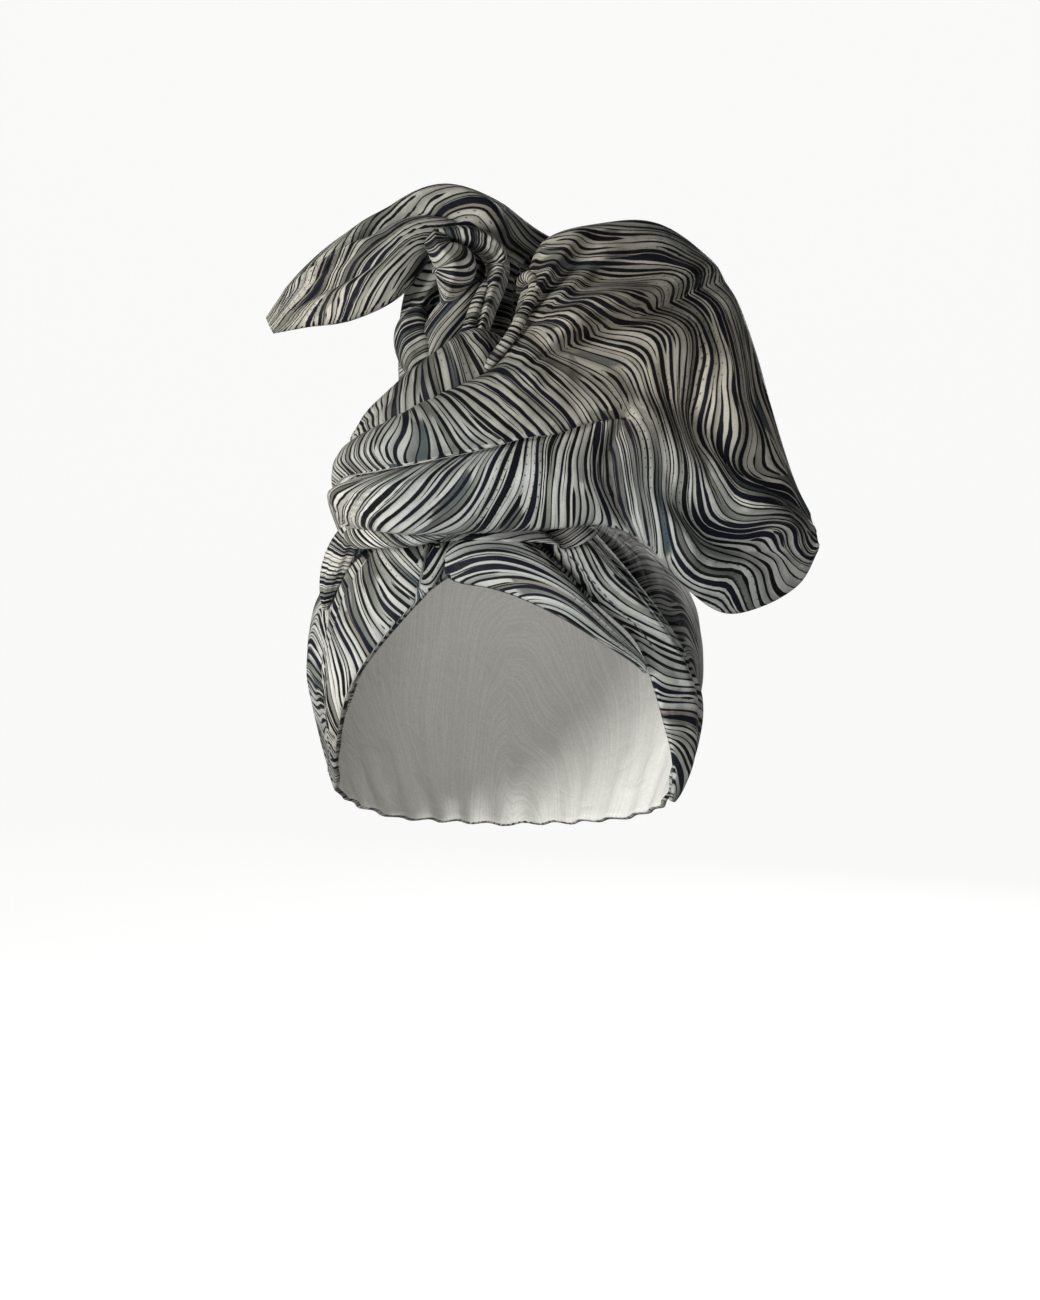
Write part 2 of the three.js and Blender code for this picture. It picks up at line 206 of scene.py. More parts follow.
def linear(red, green, blue):
    """A colour read off a screen, from 0 to 255, as light."""
    screen = np.array([red, green, blue]) / 255
    light = np.where(screen <= 0.04045, screen / 12.92, ((screen + 0.055) / 1.055) ** 2.4)
    return (*light.tolist(), 1.0)


class Nodes:
    """Short ways to add and join the nodes of one tree. An input has a name, or a number as in i0."""

    def __init__(self, tree):
        self.tree = tree

    def add(self, kind, settings=None, **inputs):
        node = self.tree.nodes.new(kind)
        for key, value in (settings or {}).items():
            setattr(node, key, value)
        for key, value in inputs.items():
            numbered = key[0] == "i" and key[1:].isdigit()
            socket = node.inputs[int(key[1:]) if numbered else key]
            if isinstance(value, bpy.types.NodeSocket):
                self.tree.links.new(value, socket)
            else:
                socket.default_value = value
        return node

    def maths(self, operation, a, b=0.0):
        return self.add("ShaderNodeMath", {"operation": operation}, i0=a, i1=b).outputs[0]

    def times(self, a, b):
        return self.maths("MULTIPLY", a, b)

    def plus(self, a, b):
        return self.maths("ADD", a, b)

    def less(self, a, b):
        return self.maths("SUBTRACT", a, b)

    def spread(self, value, low, high, to_low=0.0, to_high=1.0):
        return self.add(
            "ShaderNodeMapRange", {"interpolation_type": "SMOOTHSTEP"},
            i0=value, i1=low, i2=high, i3=to_low, i4=to_high,
        ).outputs[0]

    def split(self, vector):
        return self.add("ShaderNodeSeparateXYZ", Vector=vector).outputs

    def uv(self, name):
        return self.split(self.add("ShaderNodeUVMap", {"uv_map": name}).outputs[0])

    def noise(self, x, y):
        place = self.add("ShaderNodeCombineXYZ", X=x, Y=y).outputs[0]
        settings = {"noise_dimensions": "2D"}
        return self.add("ShaderNodeTexNoise", settings, Vector=place, Scale=1.0, Detail=0.0).outputs[0]

    def cloud(self, place, scale, detail, distortion=0.0):
        values = {"Vector": place, "Scale": scale, "Detail": detail, "Distortion": distortion}
        return self.add("ShaderNodeTexNoise", **values).outputs[0]

    def dice(self, value):
        return self.add("ShaderNodeTexWhiteNoise", {"noise_dimensions": "1D"}, W=value).outputs[0]

    def mix(self, share, a, b):
        return self.add("ShaderNodeMix", {"data_type": "RGBA"}, i0=share, i6=a, i7=b).outputs[2]

    def shade(self, colour, grey):
        tone = self.add("ShaderNodeCombineColor", i0=grey, i1=grey, i2=grey).outputs[0]
        return self.tint(colour, tone)

    def tint(self, colour, tone):
        settings = {"data_type": "RGBA", "blend_type": "MULTIPLY"}
        return self.add("ShaderNodeMix", settings, i0=1.0, i6=colour, i7=tone).outputs[2]

    def steps(self, value, stops):
        node = self.add("ShaderNodeValToRGB", Fac=value)
        ramp = node.color_ramp
        while len(ramp.elements) < len(stops):
            ramp.elements.new(0.5)
        for element, (place, *colour) in zip(ramp.elements, stops):
            element.position = place
            element.color = linear(*colour)
        return node.outputs[0]


LINE_HALF_WIDTHS = (0.41, 0.76)
LINE_SWELL = 0.8
LINE_EDGE = 0.14
HAIR_HALF_WIDTHS = (-0.12, 0.24)
HAIR_EDGE = 0.1
DOT_RADII = (0.26, 0.42)
DOTS_PER_MM = 0.27
DOT_PITCH = 3.7
DOT_SHOW = 0.75
BLACK_INK = linear(6, 6, 7)
NAVY_INK = linear(13, 16, 30)
HAIR_INK = linear(26, 27, 27)
DOT_INK = linear(30, 31, 32)
SHADED_SIDE = linear(74, 77, 75)
FILL_TONES = [
    # place, red, green, blue
    [0.13, 66, 78, 84], [0.20, 116, 120, 116], [0.28, 192, 192, 187], [0.66, 187, 187, 182],
    [0.75, 144, 146, 139], [0.84, 102, 104, 99], [0.94, 134, 129, 122],
]
DYE_TINTS = [
    # place, red, green, blue
    [0.34, 236, 240, 239], [0.50, 252, 251, 248], [0.66, 252, 248, 240],
]
# Painted shade: between these heights in metres the print goes from the low tone to the darker, warmer high
# tone, standing in for less light on the upper folds.
PAINTED_SHADE_LOW = (1.0, 1.0, 1.0, 1.0)
PAINTED_SHADE_HIGH = (0.71, 0.69, 0.65, 1.0)
PAINTED_SHADE_HEIGHTS = (-0.004, 0.03)


def wave_print_and_painted_shade():
    """The print as a group: its colour, from the lines counted across it and the mm run along it, with
    painted shade that darkens and warms it towards the top.

    Factors of the run set how slowly a noise changes along a line. The other odd numbers only keep the
    draws for one line apart from those for the next.
    """
    group = bpy.data.node_groups.new("wave print and painted shade", "ShaderNodeTree")
    group.interface.new_socket("Colour", in_out="OUTPUT", socket_type="NodeSocketColor")
    n = Nodes(group)
    lines, run = n.uv("print")[:2]
    gap = n.uv("gap")[0]

    def strokes(phase, mark, spacing, grown):
        """Drawn lines at each whole number of a phase, hairline to heavy, as wide as they have grown."""
        number = n.maths("FLOOR", phase)
        row = n.plus(n.times(number, 0.713), mark)
        weight = n.dice(n.plus(number, mark))
        heavy = n.dice(n.plus(number, mark + 0.37))
        swell = n.noise(n.plus(n.times(run, 0.019), n.times(weight, 91.0)), row)
        swell = n.times(n.spread(swell, 0.46, 0.68), n.spread(heavy, 0.35, 0.8))
        thin = n.noise(n.plus(n.times(run, 0.024), n.times(heavy, 53.0)), row)
        half = n.times(n.spread(weight, 0.0, 1.0, *LINE_HALF_WIDTHS), n.spread(thin, 0.32, 0.6, 0.4, 1.15))
        half = n.times(n.plus(half, n.times(swell, LINE_SWELL)), n.spread(spacing, 1.0, 3.3, 0.35, 1.0))
        half = n.less(n.times(half, grown), n.times(n.less(1.0, grown), 0.2))
        away = n.times(n.maths("ABSOLUTE", n.less(n.less(phase, number), 0.5)), spacing)
        return n.spread(n.less(away, half), -LINE_EDGE, LINE_EDGE, 1.0, 0.0), heavy

    # Where the lines part, new ones grow between them, and where they crowd, every other one ends.
    wide = n.spread(gap, 3.6, 5.0)
    widest = n.spread(gap, 7.2, 10.0)
    odd = n.maths("FLOORED_MODULO", n.maths("FLOOR", lines), 2.0)
    kept = n.less(1.0, n.times(odd, n.spread(gap, 1.4, 2.1, 1.0, 0.0)))
    main, heavy = strokes(lines, 0.5, gap, kept)
    second = strokes(n.plus(lines, 0.5), 7.3, gap, wide)[0]
    third = strokes(n.plus(n.times(lines, 2.0), 0.5), 3.9, n.times(gap, 0.5), widest)[0]
    line = n.maths("MAXIMUM", main, n.maths("MAXIMUM", second, third))

    # A hairline runs here and there in the band between two lines, beside its middle.
    between = n.maths("FLOOR", n.plus(lines, 0.5))
    half_band = n.maths("FLOOR", n.times(lines, 2.0))
    band = n.plus(n.times(between, 0.617), 0.5)
    off_middle = n.less(lines, between)
    kind = n.dice(n.plus(between, 0.71))
    half_kind = n.dice(n.plus(half_band, 0.53))
    hair = n.noise(n.plus(n.times(run, 0.02), n.times(kind, 37.0)), band)
    hair = n.spread(hair, 0.42, 0.6, *HAIR_HALF_WIDTHS)
    lean = n.times(n.less(n.dice(n.plus(between, 0.13)), 0.5), 0.4)
    off_hair = n.times(n.maths("ABSOLUTE", n.less(off_middle, lean)), gap)
    hairline = n.spread(n.less(off_hair, hair), -HAIR_EDGE, HAIR_EDGE, 1.0, 0.0)

    # Each band has a grey of its own that changes slowly along it, shaded to one side.
    tone = n.noise(n.plus(n.times(run, 0.014), n.times(kind, 61.0)), band)
    kind = n.plus(n.times(kind, n.less(1.0, wide)), n.times(half_kind, wide))
    tone = n.plus(n.times(kind, 0.6), n.times(tone, 0.42))
    fill = n.steps(tone, FILL_TONES)
    side = n.times(off_middle, n.spread(n.dice(n.plus(between, 0.29)), 0.4, 0.6, -1.0, 1.0))
    fill = n.mix(n.spread(side, -0.1, 0.5, 0.0, 0.5), fill, SHADED_SIDE)
    ink = n.mix(n.spread(heavy, 0.5, 0.9), BLACK_INK, NAVY_INK)
    colour = n.mix(hairline, fill, HAIR_INK)
    colour = n.mix(line, colour, ink)

    # Rows of dots lie in some of the bands.
    stride = n.maths("FRACT", n.plus(n.times(run, DOTS_PER_MM), n.times(half_kind, 9.0)))
    along_row = n.times(n.less(stride, 0.5), DOT_PITCH)
    off_row = n.times(n.less(off_middle, lean), gap)
    away = n.maths("SQRT", n.plus(n.times(along_row, along_row), n.times(off_row, off_row)))
    spotted = n.noise(n.times(lines, 0.11), n.times(run, 0.013))
    spot = n.times(n.spread(away, *DOT_RADII, 1.0, 0.0), n.spread(spotted, 0.57, 0.61))
    colour = n.mix(n.times(spot, DOT_SHOW), colour, DOT_INK)

    # The dye is patchy. Painted shade: the print is darkened and warmed with height, so the upper folds are
    # duller and warmer than the lower ones, in place of the lesser light that falls on them.
    place = n.add("ShaderNodeTexCoord").outputs["Object"]
    patch = n.cloud(place, 17.0, 1.0)
    warm = n.cloud(place, 12.0, 0.0)
    colour = n.tint(colour, n.steps(warm, DYE_TINTS))
    colour = n.shade(colour, n.spread(patch, 0.3, 0.7, 0.72, 1.1))
    height = n.split(place)[2]
    colour = n.tint(colour, n.mix(n.spread(height, *PAINTED_SHADE_HEIGHTS), PAINTED_SHADE_LOW, PAINTED_SHADE_HIGH))
    group.links.new(colour, n.add("NodeGroupOutput").inputs[0])
    return group


PRINT = wave_print_and_painted_shade()
REVERSE_COLOUR = linear(216, 215, 210)
THREADS_PER_M = 1500.0
SLUBS_PER_M = 420.0
CREASES_PER_M = 52.0


def new_material(name):
    """A material, short ways to its nodes, and the inputs of its shader."""
    material = bpy.data.materials.new(name)
    material.use_nodes = True
    tree = material.node_tree
    return material, Nodes(tree), tree.nodes["Principled BSDF"].inputs


def cloth_material(name, show):
    """Woven cloth: show is how strongly the print is seen, all of it on the face, little on the reverse."""
    material, n, shader = new_material(name)
    link = material.node_tree.links.new
    pattern = n.add("ShaderNodeGroup", {"node_tree": PRINT}).outputs[0]
    colour = n.mix(show, REVERSE_COLOUR, pattern)
    place = n.add("ShaderNodeTexCoord").outputs["Object"]
    thread = n.cloud(place, THREADS_PER_M, 1.0)
    slub = n.cloud(place, SLUBS_PER_M, 2.0)
    link(n.shade(colour, n.spread(thread, 0.3, 0.7, 0.93, 1.05)), shader["Base Color"])
    link(n.spread(slub, 0.3, 0.7, 0.62, 0.74), shader["Roughness"])
    crease = n.cloud(place, CREASES_PER_M, 2.0, distortion=0.6)
    crease = n.maths("ABSOLUTE", n.less(crease, 0.5))
    creased_face = n.add("ShaderNodeBump", Strength=0.5, Distance=0.004, Height=crease).outputs[0]
    weave = n.plus(n.times(thread, 0.5), slub)
    woven_face = n.add("ShaderNodeBump", Strength=0.25, Distance=0.0003, Height=weave, Normal=creased_face)
    link(woven_face.outputs[0], shader["Normal"])
    shader["Specular IOR Level"].default_value = 0.14
    shader["Sheen Weight"].default_value = 0.03
    shader["Sheen Roughness"].default_value = 0.45
    return material


REVERSE_SHOW = 0.14
FACES = [cloth_material("printed cloth", 1.0), cloth_material("reverse of the cloth", REVERSE_SHOW)]


def thread_material():
    """Dark polyester thread, its twist a fine slanting stripe."""
    material, n, shader = new_material("sewing thread")
    link = material.node_tree.links.new
    place = n.add("ShaderNodeTexCoord").outputs["Object"]
    twist = n.add("ShaderNodeTexWave", Vector=place, Scale=900.0, Distortion=1.5).outputs[1]
    link(n.mix(twist, linear(26, 27, 30), linear(62, 63, 66)), shader["Base Color"])
    bump = n.add("ShaderNodeBump", Strength=0.4, Distance=0.0001, Height=twist)
    link(bump.outputs[0], shader["Normal"])
    shader["Roughness"].default_value = 0.55
    return material


def stitch_tree():
    """Running stitches along a path: short rounded threads, one at each pitch, of uneven length."""
    tree = bpy.data.node_groups.new("running stitches", "GeometryNodeTree")
    sockets = {}
    for name, kind in (
        ("Path", "NodeSocketGeometry"), ("Pitch", "NodeSocketFloat"), ("Length", "NodeSocketFloat"),
        ("Thickness", "NodeSocketFloat"), ("Seed", "NodeSocketInt"), ("Thread", "NodeSocketMaterial"),
    ):
        sockets[name] = tree.interface.new_socket(name, in_out="INPUT", socket_type=kind).identifier
    tree.interface.new_socket("Stitches", in_out="OUTPUT", socket_type="NodeSocketGeometry")
    n = Nodes(tree)
    given = n.add("NodeGroupInput").outputs
    curve = n.add("GeometryNodeMeshToCurve", Mesh=given["Path"]).outputs["Curve"]
    by_length = {"mode": "LENGTH"}
    spots = n.add("GeometryNodeCurveToPoints", by_length, Curve=curve, Length=given["Pitch"]).outputs
    thread = n.add("GeometryNodeMeshUVSphere", Segments=8, Rings=6, Radius=0.5).outputs["Mesh"]
    number = {"data_type": "FLOAT"}
    uneven = n.add("FunctionNodeRandomValue", number, i2=0.82, i3=1.1, i8=given["Seed"]).outputs[1]
    length, thickness = n.times(given["Length"], uneven), given["Thickness"]
    size = n.add("ShaderNodeCombineXYZ", X=thickness, Y=thickness, Z=length)
    sewn = n.add(
        "GeometryNodeInstanceOnPoints",
        Points=spots["Points"], Instance=thread, Rotation=spots["Rotation"], Scale=size.outputs[0],
    ).outputs["Instances"]
    real = n.add("GeometryNodeRealizeInstances", Geometry=sewn).outputs["Geometry"]
    smooth = n.add("GeometryNodeSetShadeSmooth", Geometry=real).outputs["Geometry"]
    done = n.add("GeometryNodeSetMaterial", Geometry=smooth, Material=given["Thread"]).outputs["Geometry"]
    tree.links.new(done, n.add("NodeGroupOutput").inputs["Stitches"])
    return tree, sockets


STITCH_TREE, STITCH_SOCKETS = stitch_tree()
THREAD = thread_material()


def place_in_scene(name, data):
    placed = bpy.data.objects.new(name, data)
    bpy.context.scene.collection.objects.link(placed)
    return placed


def sew(name, path, pitch, length, seed):
    """A line of stitches along a path of points in mm, as a plain mesh."""
    line = bpy.data.meshes.new(name + "_path")
    line.from_pydata((path * MM).tolist(), [(k, k + 1) for k in range(len(path) - 1)], [])
    stitches = place_in_scene(name, line)
    modifier = stitches.modifiers.new("stitches", "NODES")
    modifier.node_group = STITCH_TREE
    values = {"Pitch": pitch * MM, "Length": length * MM, "Thickness": STITCH_THICKNESS * MM}
    values.update({"Seed": seed, "Thread": THREAD})
    for socket, value in values.items():
        modifier[STITCH_SOCKETS[socket]] = value
    made = stitches.evaluated_get(bpy.context.evaluated_depsgraph_get())
    mesh = bpy.data.meshes.new_from_object(made)
    stitches.modifiers.remove(modifier)
    stitches.data = mesh
    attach(stitches, "root")
    return stitches


def make_piece(name, node, walls):
    """A finished piece of cloth in place of its solid."""
    points, faces, corners_uv, reverse, start = [], [], [], [], 0
    for wall_points, wall_faces, wall_uv, wall_reverse in walls:
        points.append(wall_points)
        faces += [[start + corner for corner in face] for face in wall_faces]
        corners_uv.append(wall_uv)
        reverse.append(wall_reverse)
        start += len(wall_points)
    mesh = bpy.data.meshes.new(name)
    mesh.from_pydata((np.concatenate(points) * MM).tolist(), [], faces)
    uv = np.concatenate(corners_uv).astype(np.float32)
    mesh.uv_layers.new(name="print").data.foreach_set("uv", uv[:, :2].ravel())
    mesh.uv_layers.new(name="gap").data.foreach_set("uv", uv[:, [2, 2]].ravel())
    mesh.polygons.foreach_set("use_smooth", np.ones(len(faces), bool))
    mesh.polygons.foreach_set("material_index", np.concatenate(reverse))
    for material in FACES:
        mesh.materials.append(material)
    mesh.update()
    piece = place_in_scene(name, mesh)
    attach(piece, "root")
    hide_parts(node)


def smoothed(grid):
    """A grid with each value made the mean of itself and its neighbours, twice each way."""
    for axis in (0, 1, 0, 1):
        padded = np.concatenate([np.take(grid, [0], axis), grid, np.take(grid, [-1], axis)], axis)
        last = padded.shape[axis]
        before, here, after = (np.take(padded, np.arange(k, last - 2 + k), axis) for k in (0, 1, 2))
        grid = (before + here + after) / 3
    return grid


def line_gap(points, count):
    """The distance in mm from one printed line to the next, over a grid."""
    least_edge, least_slope, narrowest, widest = 0.3, 0.01, 1.2, 18
    down, over = np.gradient(points, axis=0), np.gradient(points, axis=1)
    tall, wide = (np.maximum(np.linalg.norm(edge, axis=-1), least_edge) for edge in (down, over))
    skew = np.clip((down * over).sum(-1) / tall / wide, -0.9, 0.9)
    rise, lean = np.gradient(count, axis=0) / tall, np.gradient(count, axis=1) / wide
    slope = np.sqrt((rise**2 + lean**2 - 2 * skew * rise * lean) / (1 - skew**2))
    return np.exp(smoothed(np.log(np.clip(1 / np.maximum(slope, least_slope), narrowest, widest))))


def wavering(count, run, seed):
    """Lines counted as a hand draws them, drifting together and apart along their run."""
    return count + LINE_WAVER * ripples(count * LINE_SPACING, run * 0.52, seed, coarse=44, fine=15)


cap_azimuth = np.linspace(-180, 180, CAP_COLUMNS + 1)
cap_rim_z = row_at(CAP_RIM, np.interp(cap_azimuth, CAP_RIM[:, 0], np.arange(len(CAP_RIM))))[:, 1]
up, azimuth = np.meshgrid(np.linspace(0, 1, CAP_ROWS + 1)[:-1], cap_azimuth, indexing="ij")
cap_z = cap_rim_z + (CLOTH - 0.02 - cap_rim_z) * np.sin(up * np.pi / 2)
from_nape = 180 - np.abs(azimuth)
gathers = np.cos(np.radians(azimuth * GATHER_COUNT + 22 * np.sin(np.radians(azimuth * 7))))
gather_lift = GATHER_HEIGHT * gathers * hump(from_nape / GATHER_REACH) * hump(up / 0.34)
gather_lift = gather_lift + RIM_GATHER_HEIGHT * gathers * hump(up / 0.2)
smooth_cap = cap_point(azimuth, cap_z)
knot_x, knot_y = smooth_cap[..., 0] - KNOT_X, smooth_cap[..., 1] - KNOT_Y
from_knot = np.hypot(knot_x, knot_y)
pull_folds = np.sin(PULL_COUNT * np.arctan2(knot_x, knot_y) + 0.8 * np.sin(from_knot / 17))
pull_lift = PULL_HEIGHT * pull_folds * hump(from_knot / PULL_REACH) * np.clip(from_knot / 30, 0, 1)
cap_ripple = CAP_RIPPLE * ripples(azimuth * 1.5, cap_z, 3) * np.cos(up * np.pi / 2)
nape_seam = -SEAM_DEPTH * cusp(from_nape / 3)
cap_folds = gather_lift + pull_lift + cap_ripple + nape_seam
above_rim = cap_z - cap_rim_z
hem = HEM_HEIGHT * np.clip((HEM_WIDTH - above_rim) / 1.2, 0, 1)
hem = hem - 0.5 * hump((above_rim - HEM_WIDTH - 0.6) / 1.3)
cap_outer = cap_lifted(azimuth, cap_z, cap_folds + hem)
cap_inner = cap_lifted(azimuth, cap_z, cap_folds - CLOTH)
down_from_top = np.linalg.norm(np.diff(smooth_cap[::-1], axis=0, prepend=smooth_cap[-1:]), axis=-1)
down_from_top = np.cumsum(down_from_top, 0)[::-1] + 8
print_angle = np.radians(PRINT_TURN + PRINT_TWIST * azimuth)
cap_count = down_from_top * np.sin(print_angle) / LINE_SPACING
cap_run = down_from_top * np.cos(print_angle)
cap_count = wavering(cap_count + 1.3 * np.sin(cap_run / 15 + cap_count / 7), cap_run, 2)
cap_print = np.stack([cap_count, cap_run, line_gap(cap_outer, cap_count)], -1)
hem_line = np.array([
    [np.interp(HEM_STITCH, above_rim[:, k], cap_outer[:, k, axis]) for axis in range(3)]
    for k in range(len(cap_azimuth))
])
hem_stitches = sew("cap_hem_stitches", hem_line, pitch=4.2, length=2.9, seed=4)
make_piece(
    "crown_cap_cloth", "crown_cap", [wall(cap_outer[:, :-1], cap_inner[:, :-1], cap_print, True)],
)

# LEFT BAND. The cloth of one sash end where it leaves the side of the cap: a flat band of the same woven
# polyester, laid up over the temple to the knot. Its front edge is turned back in a mitred fold, so the
# print changes direction there.
LEFT_BAND = np.array([
    # front azimuth, front z, back azimuth, back z, puff
    [-16, -22, -51, -14, 3], [-20, -39, -54, -29, 6], [-27, -51.5, -56, -46, 7], [-36, -65.5, -57, -62, 6],
    [-46, -81, -58, -79, 5], [-53, -95, -60, -94, 3.5], [-58, -104, -63, -103.5, 2],
    [-62, -110, -66, -109.5, 1],
], float)
LEFT_BAND_FLOW = [
    # x, z, side, direction, spacing
    [-54, -32, 0, -60, 3.5], [-51, -40, 0, -54, 3.5], [-44, -33, 0, -50, 3.5], [-36, -30, 0, -44, 3.5],
    [-39, -42, 0, -42, 3.5], [-58, -44, 0, -60, 3.5], [-64, -54, 0, -52, 3.5], [-58, -57, 0, -44, 3.5],
    [-50, -57, 0, -34, 3.5], [-66, -70, 0, -68, 3.5], [-60, -68, 0, -42, 3.5], [-69, -83, 0, -72, 3.2],
    [-67, -89, 0, -46, 3.2], [-69, -99, 0, -22, 2.8], [-67, -107, 0, -26, 2.6],
    [-27, -32, 1, 48, 3.3], [-26, -40, 1, 38, 3.3], [-24, -26, 1, 55, 3.3],
]
MITRE_COLUMNS = 14
MITRE_END = 1.7
MITRE_WIDTH = 0.24
MITRE_EDGE = 0.012
MITRE_SPLIT = 0.003
BAND_ROWS = 120
BAND_COLUMNS = 60
EVENNESS = 0.6
FIT_GRIDS = (26, 84)
FIT_STEPS = 900
FIT_TWIST = 0.1
SIDE_APART = 60.0
GUIDE_SOFTNESS = 20.0
LEAST_AREA = 0.15


def finer(value, picks, shape):
    """Values at picked rows and columns of a grid, drawn straight to all of its points."""
    down = np.array([np.interp(np.arange(shape[0]), picks[0], column) for column in value.T]).T
    return np.array([np.interp(np.arange(shape[1]), picks[1], line) for line in down])


def nearest_fit(value, along, across, twist, targets):
    """Values over a grid whose slopes along and across the print's lines come nearest to their targets.

    It is found step by step from the values given, by conjugate gradients.
    """
    def slopes(v):
        rise = (v[1:, 1:] + v[1:, :-1] - v[:-1, 1:] - v[:-1, :-1]) / 2
        lean = (v[1:, 1:] - v[1:, :-1] + v[:-1, 1:] - v[:-1, :-1]) / 2
        bend = v[1:, 1:] - v[1:, :-1] - v[:-1, 1:] + v[:-1, :-1]
        return along[0] * rise + along[1] * lean, across[0] * rise + across[1] * lean, twist * bend

    def gather(first, second, third):
        rise = (along[0] * first + across[0] * second) / 2
        lean = (along[1] * first + across[1] * second) / 2
        bend = twist * third
        out = np.zeros_like(value)
        out[1:, 1:] += rise + lean + bend
        out[1:, :-1] += rise - lean - bend
        out[:-1, 1:] += lean - rise - bend
        out[:-1, :-1] += bend - rise - lean
        return out

    value = value.copy()
    rest = gather(*(target - slope for target, slope in zip(targets, slopes(value))))
    way = rest.copy()
    size = (rest * rest).sum()
    for _ in range(FIT_STEPS):
        pull = gather(*slopes(way))
        move = size / max((way * pull).sum(), 1e-12)
        value += move * way
        rest -= move * pull
        new_size = (rest * rest).sum()
        if new_size < 1e-9:
            break
        way = rest + way * new_size / size
        size = new_size
    return value


def lay_print(points, along, across, spacing, cut=None, evenness=EVENNESS):
    """The print over a grid: lines counted across them, and mm run along them.

    The count stays level along the lines first and rises evenly from line to line second, so lines draw
    together and part as they do on the cloth. At a cut, a column and a last row, the print isn't joined.
    """
    shape = points.shape[:2]
    count, run = np.zeros(shape), np.zeros(shape)
    for size in FIT_GRIDS:
        picks = [np.unique(np.linspace(0, n - 1, min(size, n)).astype(int)) for n in shape]
        if cut:
            picks[1] = np.union1d(picks[1], [cut[0], cut[0] + 1])
        p, a, b, s = (grid[np.ix_(*picks)] for grid in (points, along, across, spacing))
        a, b, s = ((g[1:, 1:] + g[1:, :-1] + g[:-1, 1:] + g[:-1, :-1]) / 4 for g in (a, b, s))
        down = (p[1:, 1:] + p[1:, :-1] - p[:-1, 1:] - p[:-1, :-1]) / 2
        over = (p[1:, 1:] - p[1:, :-1] + p[:-1, 1:] - p[:-1, :-1]) / 2
        tall, wide = (np.maximum(np.linalg.norm(edge, axis=-1), 1.0) for edge in (down, over))
        down, over = unit(down), unit(over)
        line = unit(down * a[..., None] + over * b[..., None])
        next_line = unit(np.cross(np.cross(down, over), line))
        skew = (down * over).sum(-1)
        square = np.maximum(1 - skew**2, 0.1)
        weight = np.sqrt(tall * wide)
        if cut:
            weight[picks[0][:-1] < cut[1], np.searchsorted(picks[1], cut[0])] = 0

        def shares(way, strength):
            on_down, on_over = (way * down).sum(-1), (way * over).sum(-1)
            of_rows = strength * weight * (on_down - skew * on_over) / square / tall
            of_columns = strength * weight * (on_over - skew * on_down) / square / wide
            return of_rows, of_columns

        twist = FIT_TWIST * weight / np.sqrt(tall * wide)
        level, rise = shares(line, 1.0), shares(next_line, evenness)
        start = [grid[np.ix_(*picks)] for grid in (count, run)]
        count = nearest_fit(start[0], level, rise, twist, (0, evenness * weight / s, 0))
        run = nearest_fit(start[1], level, rise, twist, (weight, 0, 0))
        count, run = finer(count, picks, shape), finer(run, picks, shape)
    count = wavering(count, run, len(points))
    return np.stack([count, run, line_gap(points, count)], -1)


def flow_from(guides, points, down, over, side=0.0):
    """The run of the print's lines over a grid: shares along its rows and columns, and the spacing.

    Each guide is a place seen from the front, x and z in mm, the side of a fold that it is on, the
    direction of the lines there in degrees from +X towards +Z, and their spacing in mm.
    """
    guides = np.asarray(guides, float)
    x, z = points[..., 0], points[..., 2]
    side = np.broadcast_to(side, x.shape)
    gap = (x[..., None] - guides[:, 0]) ** 2 + (z[..., None] - guides[:, 1]) ** 2
    gap = gap + (SIDE_APART * (side[..., None] - guides[:, 2])) ** 2
    weight = 1 / (gap + GUIDE_SOFTNESS) ** 2
    weight = weight / weight.sum(-1, keepdims=True)
    angle = np.radians(guides[:, 3])
    dx, dz = (weight * np.cos(angle)).sum(-1), (weight * np.sin(angle)).sum(-1)
    area = down[..., 0] * over[..., 2] - down[..., 2] * over[..., 0]
    area = np.where(np.abs(area) < LEAST_AREA, np.where(area < 0, -LEAST_AREA, LEAST_AREA), area)
    along = (dx * over[..., 2] - dz * over[..., 0]) / area
    across = (down[..., 0] * dz - down[..., 2] * dx) / area
    return along, across, (weight * guides[:, 4]).sum(-1)


def band_places(rows, split=None):
    """How far along and across a band each of its points is: the row's number, and a share.

    A split is a share for each row, at which the band's columns part for a fold.
    """
    position = np.linspace(0, len(rows) - 1, BAND_ROWS)
    share = np.linspace(0, 1, BAND_COLUMNS) + 0 * position[:, None]
    if split is not None:
        at = split(position)[:, None]
        before = (at - MITRE_SPLIT) * np.linspace(0, 1, MITRE_COLUMNS)
        left_over = 1 - MITRE_SPLIT - at
        after = at + MITRE_SPLIT + left_over * np.linspace(0, 1, BAND_COLUMNS - MITRE_COLUMNS)
        share = np.concatenate([before, after], 1)
    return position[:, None] + 0 * share, share


def band_grid(rows, position, share, lift):
    """A band's face over the cap, lifted off it by its puff and by what else is given."""
    row = row_at(rows, position[:, 0])
    azimuth = row[:, 0:1] + (row[:, 2:3] - row[:, 0:1]) * share
    z = row[:, 1:2] + (row[:, 3:4] - row[:, 1:2]) * share
    puff = row[:, 4:5] * np.sin(np.clip(share, 0, 1) * np.pi) ** 0.7
    return cap_lifted(azimuth, z, lift + puff)


def band_wall(rows, position, share, folds, guides, side=0.0, cut=None):
    """A band's wall of cloth: its face with the folds, its underside, and its print."""
    face = band_grid(rows, position, share, GAP + CLOTH + folds)
    under = band_grid(rows, position, share, GAP)
    down, over = unit(np.gradient(face, axis=0)), unit(np.gradient(face, axis=1))
    return face, wall(face, under, lay_print(face, *flow_from(guides, face, down, over, side), cut), False)


def mitre_at(position):
    """The share across the band at which its mitred fold lies."""
    return MITRE_EDGE + MITRE_WIDTH * np.clip(1 - position / MITRE_END, 0, 1)


